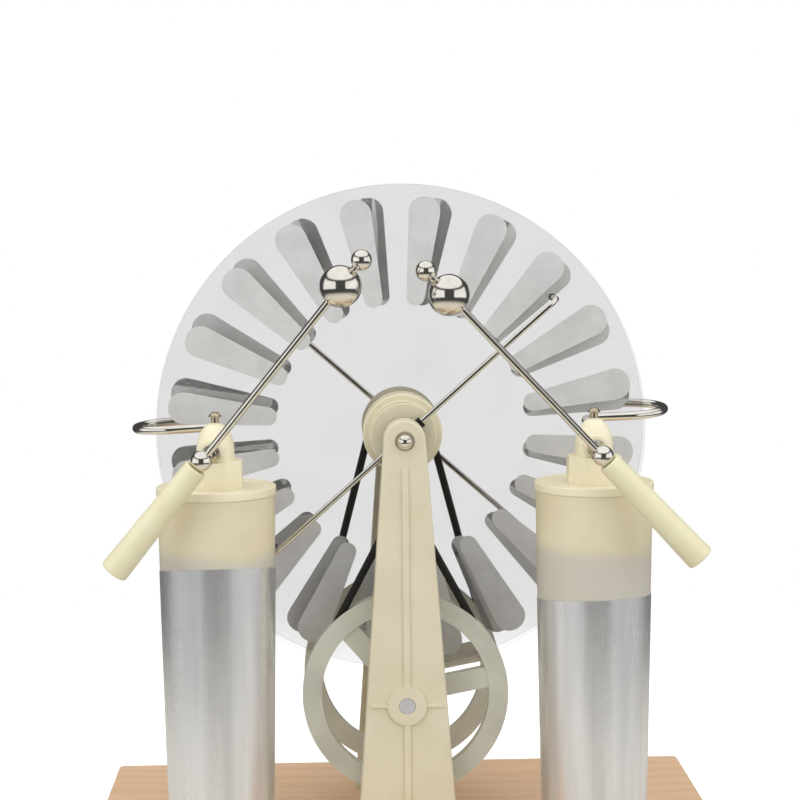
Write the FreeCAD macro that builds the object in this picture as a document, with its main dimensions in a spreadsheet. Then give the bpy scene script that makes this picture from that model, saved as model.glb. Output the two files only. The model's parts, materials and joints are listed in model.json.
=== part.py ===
"""Wimshurst machine: two counter-rotating sector discs on a wooden base, turned by a crank.

Frame: +Z up, X to the right, the crank on the +Y side.  The origin lies on the resting plane
under the middle of the machine, and the plane midway between the two discs is Y = 0.
All sizes are in millimetres and come from the sheet "Sizes".
"""
import FreeCAD, Part
import Sketcher
import math
import os

from FreeCAD import Placement, Rotation, Vector

doc = FreeCAD.newDocument("WimshurstMachine")

# ----------------------------------------------------------------------------------------
# Driving sizes
# ----------------------------------------------------------------------------------------
SIZES = [
    # wooden base on four rubber feet
    ("base_length", 354), ("base_front", 124), ("base_back", 101), ("base_thickness", 20),
    ("base_corner", 3), ("base_edge_round", 1.5),
    ("foot_height", 8), ("foot_top_radius", 11), ("foot_bottom_radius", 9.5), ("foot_inset", 20),
    ("foot_recess_radius", 5.2), ("foot_recess_depth", 4.5),
    ("foot_screw_radius", 2), ("foot_screw_head_radius", 4.2), ("foot_screw_head", 2.4),
    ("foot_screw_length", 18),
    # main heights above the base and along the disc axis
    ("wheel_above_base", 19), ("crank_below_disc", 6.5), ("fit_running", 0.05), ("fit_press", 0.02),
    # discs, sectors and pulleys
    ("disc_radius", 140), ("disc_thickness", 3), ("disc_gap", 6), ("disc_edge_round", 0.5),
    ("sector_count", 20), ("sector_thickness", 0.3), ("sector_margin", 6.5), ("sector_length", 62),
    ("sector_inner_round", 5.2), ("sector_outer_round", 9), ("front_sector_angle", 6.5),
    ("rear_sector_angle", 9.8),
    ("axle_radius", 3), ("axle_end_radius", 2),
    ("pulley_boss_radius", 22.4), ("pulley_boss_end", 24), ("pulley_flange_proud", 2.4),
    ("pulley_end", 37), ("pulley_spigot_radius", 7), ("pulley_spigot_gap", 2.1),
    ("spacer_radius", 6), ("spacer_half", 2),
    ("hub_screw_count", 3), ("hub_screw_circle", 13), ("hub_screw_radius", 1.5),
    ("hub_screw_head_radius", 2.8), ("hub_screw_head", 1.4), ("hub_screw_length", 12),
    # drive wheels and belts
    ("belt_plane", 31.7), ("belt_radius", 2.2), ("wheel_belt_radius", 53), ("pulley_belt_radius", 16.2),
    ("belt_groove_clearance", 0.15), ("wheel_groove_flare", 0.65), ("pulley_groove_flare", 0.45),
    ("belt_crossing_shift", 2.45), ("wheel_rim_proud", 5), ("wheel_rim_depth", 10.8),
    ("wheel_width", 8), ("wheel_hub_radius", 12),
    ("wheel_hub_outer", 45.5), ("wheel_hub_inner", 25), ("spoke_width", 11.6), ("spoke_thickness", 6),
    ("spoke_count", 3), ("front_spoke_angle", -11), ("rear_spoke_angle", 49),
    ("set_screw_radius", 2), ("set_screw_length", 6),
    # uprights
    ("upright_face", 61.4), ("upright_thickness", 14), ("upright_head_radius", 11.5),
    ("upright_taper", 0.074), ("upright_edge_round", 1.2), ("upright_foot_length", 57),
    ("upright_foot_depth", 26), ("upright_foot_height", 6),
    ("upright_rib_width", 3.4), ("upright_rib_height", 1.2), ("upright_rib_top", 15),
    ("upright_boss_radius", 10.8), ("upright_boss_height", 1.6), ("side_rib_length", 9),
    ("nut_recess_radius", 5.4), ("nut_recess_depth", 2), ("nut_radius", 4.15), ("nut_dome_centre", 3.2),
    ("upright_screw_radius", 2.5), ("upright_screw_head_radius", 4.8), ("upright_screw_head", 3),
    ("upright_screw_length", 34), ("upright_screw_spread", 17), ("upright_screw_counterbore", 5),
    # crank
    ("shaft_radius", 4.5), ("shaft_front", 62.6), ("shaft_back", 78), ("crank_throw", 58),
    ("crank_arm_start", 69), ("crank_arm_thickness", 6), ("crank_arm_width", 14),
    ("crank_boss_radius", 9.5), ("crank_boss_end", 79), ("crank_pin_radius", 3),
    ("grip_start", 76), ("grip_end", 125.3), ("grip_radius", 8.5), ("grip_neck_radius", 6.5),
    ("grip_neck_length", 4), ("grip_shoulder", 8), ("grip_tail", 8), ("grip_tail_proud", 0.6),
    ("grip_edge_round", 1.5),
    ("pin_head_radius", 5.2), ("pin_head", 2.6),
    # neutralisers
    ("bar_plane", 42.4), ("bar_radius", 1.5), ("bar_upper_inset", 26), ("bar_lower_inset", 42),
    ("bar_bend", 6), ("bar_end", 15), ("bar_start", 5), ("bar_angle", 41.5),
    ("bar_hub_radius", 10.5),
    ("bar_hub_inner", 38), ("bar_hub_outer", 46.9), ("bar_ferrule_radius", 3), ("bar_ferrule_reach", 13.5),
    ("brush_radius", 2.2), ("brush_end", 6.75),
    # Leyden jars
    ("jar_inside_disc", 37.5), ("jar_forward", 65.7), ("jar_seat", 2), ("jar_bottom_radius", 28.4),
    ("jar_top_radius", 31.9), ("jar_wall", 1.8), ("jar_floor", 2.5), ("lid_below_axis", 23.3),
    ("lid_radius", 32.4), ("lid_thickness", 3.4), ("lid_lip", 1.1), ("lid_lip_width", 1.6),
    ("lid_plug_depth", 7), ("foil_thickness", 0.3), ("outer_foil_left", 157.4), ("outer_foil_right", 139.8),
    ("foil_slope_left", 0.17), ("foil_slope_right", 0.1), ("foil_turn_left", 6), ("foil_turn_right", 17),
    ("inner_foil", 168),
    ("link_width", 12), ("link_thickness", 1),
    # posts on the lids
    ("post_radius", 10.2), ("post_height", 35.5), ("post_boss_radius", 15.4), ("post_boss_height", 15),
    ("post_spigot_radius", 8), ("post_spigot_depth", 10), ("core_radius", 5),
    ("core_headroom", 0.4), ("contact_rod_radius", 2),
    ("contact_foot_radius", 7), ("contact_foot", 1.5),
    ("clamp_screw_radius", 2.1), ("clamp_head_radius", 3.5), ("clamp_head_height", 2.6),
    ("clamp_head_lift", 3), ("clamp_screw_gap", 0.01), ("post_turn_left", 6), ("post_turn_right", -1.3),
    # charge collectors
    ("collector_height", 28.4), ("collector_radius", 2.4), ("collector_spread", 23),
    ("collector_beyond_disc", 11.3), ("collector_bend", 9), ("collector_back_inset", 56),
    ("left_collector_angle", -3), ("right_collector_angle", 1.8),
    ("left_collector_pitch", 0), ("right_collector_pitch", 3.3), ("comb_radius", 0.45),
    ("comb_tip", 8.2), ("comb_front_inset", 24), ("comb_back_inset", 52), ("comb_last_inset", 16),
    ("comb_pitch", 4), ("collector_in_post", 6.5),
    # discharge rods
    ("stud_height", 20.1), ("stud_radius", 2.5), ("stud_collar_radius", 5), ("stud_collar", 2.5),
    ("stud_pin_radius", 1.5), ("stud_seat_radius", 6.8), ("stud_seat_reach", 11.6),
    ("stud_collar_gap", 0.02), ("pivot_forward", 110), ("pivot_ball_radius", 5.7),
    ("pivot_bore_depth", 3), ("spark_rod_radius", 1.9), ("spark_ball_radius", 10.9),
    ("spark_ball_past_middle", 13.8), ("spark_tip_radius", 5.4), ("spark_tip_beyond_ball", 17.2),
    ("handle_start", 4.6), ("handle_cup_gap", 0.15), ("handle_end", 75),
    ("handle_start_radius", 6.2), ("handle_end_radius", 7.6), ("handle_bore", 30),
    ("left_rod_angle", 39.2), ("right_rod_angle", 43.25),
]

sheet = doc.addObject("Spreadsheet::Sheet", "Sizes")
for row, (alias, number) in enumerate(SIZES, start=1):
    sheet.set(f"A{row}", alias)
    sheet.set(f"B{row}", str(number))
    sheet.setAlias(f"B{row}", alias)
doc.recompute()


class Dim:
    """A length known both as a number and as the sheet expression it comes from."""

    def __init__(self, number, text):
        self.number = number
        self.text = text

    @staticmethod
    def of(thing):
        return thing if isinstance(thing, Dim) else Dim(float(thing), repr(float(thing)))

    def join(self, other, sign, number):
        return Dim(number, f"({self.text} {sign} {Dim.of(other).text})")

    def __add__(self, other):
        return self.join(other, "+", self.number + Dim.of(other).number)

    def __sub__(self, other):
        return self.join(other, "-", self.number - Dim.of(other).number)

    def __mul__(self, other):
        return self.join(other, "*", self.number * Dim.of(other).number)

    def __truediv__(self, other):
        return self.join(other, "/", self.number / Dim.of(other).number)

    def __neg__(self):
        return Dim(-self.number, f"(0 - {self.text})")

    __radd__ = __add__
    __rmul__ = __mul__

    def __rsub__(self, other):
        return Dim.of(other) - self


def short_side(longest, other):
    """The second short side of a right-angled triangle."""
    number = math.sqrt(longest.number ** 2 - other.number ** 2)
    return Dim(number, f"sqrt({longest.text}^2 - {other.text}^2)")


class Sheet:
    """Gives every size of the sheet as an attribute."""

    def __getattr__(self, alias):
        return Dim(float(sheet.get(alias)), f"Sizes.{alias}")


S = Sheet()
ZERO = Dim.of(0)

base_bottom = S.foot_height
base_top = S.foot_height + S.base_thickness
wheel_radius = S.wheel_belt_radius + S.wheel_rim_proud
rim_inner = wheel_radius - S.wheel_rim_depth
flange_radius = S.pulley_belt_radius + S.pulley_flange_proud
crank_drop = S.disc_radius + S.crank_below_disc
axis_above_base = wheel_radius + S.wheel_above_base + crank_drop
axis_z = base_top + axis_above_base
crank_z = axis_z - crank_drop
disc_inner = S.disc_gap / 2
disc_outer = disc_inner + S.disc_thickness
lid_z = axis_z - S.lid_below_axis
jar_offset = S.disc_radius - S.jar_inside_disc
jar_z = base_top - S.jar_seat + S.foil_thickness
leg_z = lid_z + S.collector_height
stud_z = lid_z + S.stud_height
spark_ball_distance = jar_offset + S.spark_ball_past_middle
spark_tip_distance = spark_ball_distance + S.spark_tip_beyond_ball
seat_z = base_top - S.jar_seat

NODES = []


# ----------------------------------------------------------------------------------------
# Helpers: placements, primitives, sketches and features bound to the sheet
# ----------------------------------------------------------------------------------------
def bind(thing, path, dim):
    """Bind one property of an object to the sheet."""
    thing.setExpression(path, Dim.of(dim).text)


def move(thing, x=0, y=0, z=0, turn=None):
    """Place an object; its base point follows the sheet."""
    x, y, z = Dim.of(x), Dim.of(y), Dim.of(z)
    thing.Placement = Placement(Vector(x.number, y.number, z.number), turn or Rotation())
    bind(thing, "Placement.Base.x", x)
    bind(thing, "Placement.Base.y", y)
    bind(thing, "Placement.Base.z", z)
    return thing


def node(thing, label):
    """Name an object as one finished piece."""
    thing.Label = label
    NODES.append(thing)
    return thing


ALONG = {
    "x": Rotation(Vector(0, 0, 1), Vector(1, 0, 0)),
    "y": Rotation(Vector(0, 0, 1), Vector(0, 1, 0)),
    "z": Rotation(),
    "-x": Rotation(Vector(0, 0, 1), Vector(-1, 0, 0)),
    "-y": Rotation(Vector(0, 0, 1), Vector(0, -1, 0)),
    "-z": Rotation(Vector(0, 0, 1), Vector(0, 0, -1)),
}
FRONT = Rotation()
REAR = Rotation(Vector(0, 0, 1), 180)


def rod(name, radius, length, x=0, y=0, z=0, along="z"):
    """A cylinder that starts at a point and runs along an axis."""
    thing = doc.addObject("Part::Cylinder", name)
    bind(thing, "Radius", radius)
    bind(thing, "Height", length)
    return move(thing, x, y, z, ALONG[along])


def cone(name, first, second, length, x=0, y=0, z=0, along="z"):
    thing = doc.addObject("Part::Cone", name)
    bind(thing, "Radius1", first)
    bind(thing, "Radius2", second)
    bind(thing, "Height", length)
    return move(thing, x, y, z, ALONG[along])


def ball(name, radius, x=0, y=0, z=0):
    thing = doc.addObject("Part::Sphere", name)
    bind(thing, "Radius", radius)
    return move(thing, x, y, z)


def box(name, length, width, height, x=0, y=0, z=0):
    """A box centred on x and y, standing on z."""
    thing = doc.addObject("Part::Box", name)
    length, width = Dim.of(length), Dim.of(width)
    bind(thing, "Length", length)
    bind(thing, "Width", width)
    bind(thing, "Height", height)
    return move(thing, Dim.of(x) - length / 2, Dim.of(y) - width / 2, z)


def fuse(name, shapes):
    thing = doc.addObject("Part::MultiFuse", name)
    thing.Shapes = shapes
    return thing


def cut(name, base, tool):
    thing = doc.addObject("Part::Cut", name)
    thing.Base = base
    thing.Tool = tool
    return thing


def compound(name, parts):
    thing = doc.addObject("Part::Compound", name)
    thing.Links = parts
    return thing


def new_body(name):
    return doc.addObject("PartDesign::Body", name)


def plane_of(body, role):
    return next(f for f in body.Origin.OriginFeatures if f.Role == role)


def new_sketch(body, name, role, offset=None):
    """A sketch on one of the body's own origin planes, shifted along the plane's normal."""
    sketch = body.newObject("Sketcher::SketchObject", name)
    sketch.AttachmentSupport = [(plane_of(body, role), "")]
    sketch.MapMode = "FlatFace"
    if offset is not None:
        sketch.AttachmentOffset = Placement(Vector(0, 0, Dim.of(offset).number), Rotation())
        bind(sketch, "AttachmentOffset.Base.z", offset)
    return sketch


def pin_point(sketch, geometry, position, x, y):
    """Fix one point of a sketch at sheet distances from its origin."""
    for kind, dim in (("DistanceX", Dim.of(x)), ("DistanceY", Dim.of(y))):
        index = sketch.addConstraint(
            Sketcher.Constraint(kind, -1, 1, geometry, position, dim.number))
        bind(sketch, f"Constraints[{index}]", dim)


def draw(sketch, start, steps, closed=True):
    """Draw lines and arcs through given corners.

    A step is (x, y) for a line or (x, y, centre_x, centre_y) for an arc; every corner and
    one coordinate of every arc centre is bound to the sheet.
    """
    corners = [tuple(Dim.of(v) for v in start)]
    corners += [tuple(Dim.of(v) for v in step[:2]) for step in steps]
    ids = []
    for i, step in enumerate(steps):
        a = Vector(corners[i][0].number, corners[i][1].number, 0)
        b = Vector(corners[i + 1][0].number, corners[i + 1][1].number, 0)
        if len(step) == 2:
            ids.append((sketch.addGeometry(Part.LineSegment(a, b)), 1, 2))
            continue
        c = Vector(Dim.of(step[2]).number, Dim.of(step[3]).number, 0)
        from_angle = math.atan2(a.y - c.y, a.x - c.x)
        to_angle = math.atan2(b.y - c.y, b.x - c.x)
        clockwise = len(step) > 4 and step[4] < 0
        if clockwise:
            from_angle, to_angle = to_angle, from_angle
        while to_angle <= from_angle:
            to_angle += 2 * math.pi
        circle = Part.Circle(c, Vector(0, 0, 1), (a - c).Length)
        arc = sketch.addGeometry(Part.ArcOfCircle(circle, from_angle, to_angle))
        ids.append((arc, 2, 1) if clockwise else (arc, 1, 2))
        chord = b - a
        kind, dim = ("DistanceX", step[2]) if abs(chord.y) >= abs(chord.x) else ("DistanceY", step[3])
        index = sketch.addConstraint(
            Sketcher.Constraint(kind, -1, 1, arc, 3, Dim.of(dim).number))
        bind(sketch, f"Constraints[{index}]", dim)
    count = len(ids)
    for i in range(count if closed else count - 1):
        this, after = ids[i], ids[(i + 1) % count]
        sketch.addConstraint(
            Sketcher.Constraint("Coincident", this[0], this[2], after[0], after[1]))
    for i, (geometry, first, last) in enumerate(ids):
        pin_point(sketch, geometry, first, *corners[i])
    if not closed:
        pin_point(sketch, ids[-1][0], ids[-1][2], *corners[-1])
    return sketch


def draw_circle(sketch, x, y, radius):
    x, y, radius = Dim.of(x), Dim.of(y), Dim.of(radius)
    circle = sketch.addGeometry(
        Part.Circle(Vector(x.number, y.number, 0), Vector(0, 0, 1), radius.number))
    index = sketch.addConstraint(Sketcher.Constraint("Radius", circle, radius.number))
    bind(sketch, f"Constraints[{index}]", radius)
    pin_point(sketch, circle, 3, x, y)
    return sketch


def draw_box(sketch, x0, y0, x1, y1):
    return draw(sketch, (x0, y0), [(x1, y0), (x1, y1), (x0, y1), (x0, y0)])


def volume(body):
    doc.recompute()
    return body.Shape.Volume if not body.Shape.isNull() else 0.0


def pad(body, sketch, length, reverse=False, midplane=False):
    feature = body.newObject("PartDesign::Pad", f"{sketch.Name}_pad")
    feature.Profile = sketch
    bind(feature, "Length", length)
    feature.Reversed = reverse
    if midplane:
        feature.SideType = "Symmetric"
    doc.recompute()
    return feature


def pocket(body, sketch, length, reverse=False, midplane=False):
    """A pocket, checked to take material away."""
    before = volume(body)
    feature = body.newObject("PartDesign::Pocket", f"{sketch.Name}_pocket")
    feature.Profile = sketch
    bind(feature, "Length", length)
    feature.Reversed = reverse
    if midplane:
        feature.SideType = "Symmetric"
    if not volume(body) < before - 1e-6:
        raise RuntimeError(f"{feature.Name} removes nothing")
    return feature


def revolve(body, sketch, axis="V_Axis"):
    feature = body.newObject("PartDesign::Revolution", f"{sketch.Name}_turned")
    feature.Profile = sketch
    feature.ReferenceAxis = (sketch, [axis])
    feature.Angle = 360
    doc.recompute()
    return feature


def groove(body, sketch, axis="V_Axis"):
    before = volume(body)
    feature = body.newObject("PartDesign::Groove", f"{sketch.Name}_groove")
    feature.Profile = sketch
    feature.ReferenceAxis = (sketch, [axis])
    feature.Angle = 360
    if not volume(body) < before - 1e-6:
        raise RuntimeError(f"{feature.Name} removes nothing")
    return feature


def around_y(body, feature, count):
    """Repeat a feature about the body's Y axis."""
    pattern = body.newObject("PartDesign::PolarPattern", f"{feature.Name}_ring")
    pattern.Originals = [feature]
    axis = next(f for f in body.Origin.OriginFeatures if f.Role == "Y_Axis")
    pattern.Axis = (axis, [""])
    pattern.Angle = 360
    bind(pattern, "Occurrences", count)
    body.Tip = pattern
    doc.recompute()
    return pattern


def fillet(body, radius, wanted):
    """Round the edges of the body's present shape that satisfy a test."""
    doc.recompute()
    tip = body.Tip
    names = [f"Edge{i + 1}" for i, edge in enumerate(tip.Shape.Edges) if wanted(edge)]
    if not names:
        raise RuntimeError(f"no edges to round on {body.Name}")
    feature = body.newObject("PartDesign::Fillet", f"{body.Name}_round{len(body.Group)}")
    feature.Base = (tip, names)
    bind(feature, "Radius", radius)
    doc.recompute()
    return feature


def box_of(edge):
    return edge.BoundBox


def side_sign(side):
    return -1 if side == "left" else 1


# ----------------------------------------------------------------------------------------
# Base, feet and their screws
# ----------------------------------------------------------------------------------------
def foot_positions():
    for x in (-1, 1):
        across = (S.base_length / 2 - S.foot_inset) * x
        yield across, S.foot_inset - S.base_front
        yield across, S.base_back - S.foot_inset


def upright_screw_positions():
    middle = S.upright_face - S.upright_thickness / 2
    for end in (-1, 1):
        for x in (-1, 1):
            yield S.upright_screw_spread * x, middle * end


def make_base():
    body = node(new_body("BaseBoard"), "base_board")
    outline = new_sketch(body, "base_outline", "XY_Plane", base_bottom)
    half = S.base_length / 2
    draw_box(outline, -half, -S.base_front, half, S.base_back)
    pad(body, outline, S.base_thickness)
    fillet(body, S.base_corner, lambda e: box_of(e).ZLength > S.base_thickness.number / 2)
    top = base_top.number
    fillet(body, S.base_edge_round,
           lambda e: abs(box_of(e).ZMin - top) < 1e-4 and abs(box_of(e).ZMax - top) < 1e-4)
    seats = new_sketch(body, "jar_seats", "XY_Plane", base_top)
    for x in (-1, 1):
        draw_circle(seats, jar_offset * x, -S.jar_forward,
                    S.jar_bottom_radius + S.foil_thickness + 0.15)
    pocket(body, seats, S.jar_seat)
    slot = new_sketch(body, "link_slot", "XY_Plane", base_top)
    reach = jar_offset + S.link_width * 0.7
    draw_box(slot, -reach, -S.jar_forward - S.link_width / 2,
             reach, -S.jar_forward + S.link_width / 2)
    pocket(body, slot, S.jar_seat + S.link_thickness)
    holes = new_sketch(body, "upright_screw_holes", "XY_Plane", base_bottom)
    for x, y in upright_screw_positions():
        draw_circle(holes, x, y, S.upright_screw_radius)
    pocket(body, holes, S.base_thickness, reverse=True)
    bores = new_sketch(body, "upright_screw_bores", "XY_Plane", base_bottom)
    for x, y in upright_screw_positions():
        draw_circle(bores, x, y, S.upright_screw_head_radius + 0.4)
    pocket(body, bores, S.upright_screw_counterbore, reverse=True)
    pilots = new_sketch(body, "foot_screw_pilots", "XY_Plane", base_bottom)
    for x, y in foot_positions():
        draw_circle(pilots, x, y, S.foot_screw_radius)
    pocket(body, pilots, S.foot_screw_length - (S.foot_height - S.foot_recess_depth) + 1,
           reverse=True)
    bind(body, "Placement.Base.z", 0)


def make_feet():
    feet, screws = [], []
    for i, (x, y) in enumerate(foot_positions()):
        pillar = cone(f"foot_body{i}", S.foot_bottom_radius, S.foot_top_radius, S.foot_height, x, y)
        recess = rod(f"foot_recess{i}", S.foot_recess_radius, S.foot_recess_depth, x, y)
        hole = rod(f"foot_hole{i}", S.foot_screw_radius + 0.2, S.foot_height, x, y)
        feet.append(cut(f"foot{i}", pillar, fuse(f"foot_hollow{i}", [recess, hole])))
        seat = S.foot_recess_depth
        head = rod(f"foot_screw_head{i}", S.foot_screw_head_radius, S.foot_screw_head,
                   x, y, seat, along="-z")
        shank = rod(f"foot_screw_shank{i}", S.foot_screw_radius, S.foot_screw_length, x, y, seat)
        slot = box(f"foot_screw_slot{i}", S.foot_screw_head_radius * 2, 1, 0.9,
                   x, y, seat - S.foot_screw_head)
        screws.append(cut(f"foot_screw{i}", fuse(f"foot_screw_blank{i}", [head, shank]), slot))
    node(compound("RubberFeet", feet), "rubber_feet")
    node(compound("FootScrews", screws), "foot_screws")


def make_upright_screws():
    screws = []
    for i, (x, y) in enumerate(upright_screw_positions()):
        seat = base_bottom + S.upright_screw_counterbore
        head = rod(f"upright_screw_head{i}", S.upright_screw_head_radius, S.upright_screw_head,
                   x, y, seat, along="-z")
        shank = rod(f"upright_screw_shank{i}", S.upright_screw_radius, S.upright_screw_length,
                    x, y, seat)
        slot = box(f"upright_screw_slot{i}", S.upright_screw_head_radius * 2, 1.2, 1.1,
                   x, y, seat - S.upright_screw_head)
        screws.append(cut(f"upright_screw{i}", fuse(f"upright_screw_blank{i}", [head, shank]), slot))
    node(compound("UprightScrews", screws), "upright_screws")


# ----------------------------------------------------------------------------------------
# Uprights, axle and nuts
# ----------------------------------------------------------------------------------------
def make_upright(name, label, turn):
    """A tapered moulding with a round head, a central rib and a boss for the crank shaft."""
    body = node(new_body(name), label)
    face = S.upright_face
    back = face - S.upright_thickness
    low = -axis_above_base
    foot_half = S.upright_head_radius + S.upright_taper * axis_above_base
    head = S.upright_head_radius

    outline = new_sketch(body, f"{name}_outline", "XZ_Plane", back)
    draw(outline, (-foot_half, low),
         [(foot_half, low), (head, 0), (-head, 0, 0, 0), (-foot_half, low)])
    pad(body, outline, S.upright_thickness)
    y_face = -face.number
    fillet(body, S.upright_edge_round,
           lambda e: abs(box_of(e).YMin - y_face) < 1e-4 and abs(box_of(e).YMax - y_face) < 1e-4
           and box_of(e).ZMax > low.number + 1)

    foot = new_sketch(body, f"{name}_foot", "XY_Plane", low)
    middle = -(face - S.upright_thickness / 2)
    draw_box(foot, -S.upright_foot_length / 2, middle - S.upright_foot_depth / 2,
             S.upright_foot_length / 2, middle + S.upright_foot_depth / 2)
    pad(body, foot, S.upright_foot_height)

    drop = -crank_drop
    boss = new_sketch(body, f"{name}_boss", "XZ_Plane", face - 1)
    draw_circle(boss, 0, drop, S.upright_boss_radius)
    pad(body, boss, S.upright_boss_height + 1)
    ribs = new_sketch(body, f"{name}_ribs", "XZ_Plane", face - 1)
    half_rib = S.upright_rib_width / 2
    draw_box(ribs, -half_rib, drop + S.upright_boss_radius / 2, half_rib, -S.upright_rib_top)
    draw_box(ribs, -half_rib, low + S.upright_foot_height / 2, half_rib, drop - S.upright_boss_radius / 2)
    pad(body, ribs, S.upright_rib_height + 1)
    arms = new_sketch(body, f"{name}_arms", "XZ_Plane", face - 1)
    reach = S.upright_boss_radius + S.side_rib_length
    draw_box(arms, -reach, drop - half_rib / 2, reach, drop + half_rib / 2)
    pad(body, arms, S.upright_rib_height + 1)

    recess = new_sketch(body, f"{name}_recess", "XZ_Plane", face)
    draw_circle(recess, 0, 0, S.nut_recess_radius)
    pocket(body, recess, S.nut_recess_depth)
    bores = new_sketch(body, f"{name}_bores", "XZ_Plane", face + S.upright_boss_height * 3)
    draw_circle(bores, 0, 0, S.axle_radius)
    draw_circle(bores, 0, drop, S.shaft_radius + S.fit_running)
    pocket(body, bores, S.upright_thickness * 2)
    pilots = new_sketch(body, f"{name}_pilots", "XY_Plane", low)
    for x in (-1, 1):
        draw_circle(pilots, S.upright_screw_spread * x, middle, S.upright_screw_radius)
    depth = S.upright_screw_length - (S.base_thickness - S.upright_screw_counterbore) + 1
    pocket(body, pilots, depth, reverse=True)
    move(body, 0, 0, axis_z, turn)


def make_axle():
    shoulder = S.upright_face - S.nut_recess_depth
    middle = rod("axle_middle", S.axle_radius, shoulder * 2, 0, -shoulder, axis_z, "y")
    reach = S.upright_face + 1.2
    ends = rod("axle_ends", S.axle_end_radius, reach * 2, 0, -reach, axis_z, "y")
    node(fuse("DiscAxle", [middle, ends]), "disc_axle")
    nuts = []
    for i, sign in enumerate((-1, 1)):
        out = "-y" if sign < 0 else "y"
        seat = shoulder * sign
        skirt = rod(f"nut_skirt{i}", S.nut_radius, S.nut_dome_centre, 0, seat, axis_z, out)
        dome = ball(f"nut_dome{i}", S.nut_radius, 0, seat + S.nut_dome_centre * sign, axis_z)
        blank = fuse(f"nut_blank{i}", [skirt, dome])
        below = rod(f"nut_below{i}", S.nut_radius * 2, S.nut_radius * 2,
                    0, seat, axis_z, "y" if sign < 0 else "-y")
        thread = rod(f"nut_thread{i}", S.axle_end_radius + S.fit_press,
                     S.nut_recess_depth + 1.3, 0, seat, axis_z, out)
        nuts.append(cut(f"nut{i}", blank, fuse(f"nut_tools{i}", [below, thread])))
    node(compound("AxleNuts", nuts), "axle_nuts")
    ring = rod("spacer_ring", S.spacer_radius, S.spacer_half * 2, 0, -S.spacer_half, axis_z, "y")
    hole = rod("spacer_hole", S.axle_radius + S.fit_press, S.spacer_half * 2,
               0, -S.spacer_half, axis_z, "y")
    node(cut("DiscSpacer", ring, hole), "disc_spacer")


# ----------------------------------------------------------------------------------------
# Discs, sectors and pulleys (modelled on the front side, turned about for the rear)
# ----------------------------------------------------------------------------------------
def turned(turn, degrees):
    """The rest turn of a disc: about its axis after facing front or rear."""
    return Rotation(Vector(0, 1, 0), degrees).multiply(turn)


def make_disc(side, turn, degrees):
    name = side.capitalize()
    body = node(new_body(f"{name}Disc"), f"{side}_disc")
    outline = new_sketch(body, f"{name}_disc_outline", "XZ_Plane", disc_inner)
    draw_circle(outline, 0, 0, S.disc_radius)
    draw_circle(outline, 0, 0, S.pulley_spigot_radius)
    pad(body, outline, S.disc_thickness)
    fillet(body, S.disc_edge_round, lambda e: box_of(e).XLength > S.disc_radius.number)
    hole = new_sketch(body, f"{name}_disc_hole", "XZ_Plane", disc_outer)
    draw_circle(hole, 0, S.hub_screw_circle, S.hub_screw_radius)
    around_y(body, pocket(body, hole, S.disc_thickness), S.hub_screw_count)
    move(body, 0, 0, axis_z, turned(turn, degrees))

    foil = node(new_body(f"{name}Sectors"), f"{side}_sectors")
    inner, outer = S.sector_inner_round, S.sector_outer_round
    sector_end = S.disc_radius - S.sector_margin
    low, high = sector_end - S.sector_length + inner, sector_end - outer
    shape = new_sketch(foil, f"{name}_sector", "XZ_Plane", disc_outer)
    draw(shape, (-outer, high),
         [(-inner, low), (inner, low, 0, low), (outer, high), (-outer, high, 0, high)])
    around_y(foil, pad(foil, shape, S.sector_thickness), S.sector_count)
    move(foil, 0, 0, axis_z, turned(turn, degrees))


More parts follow.
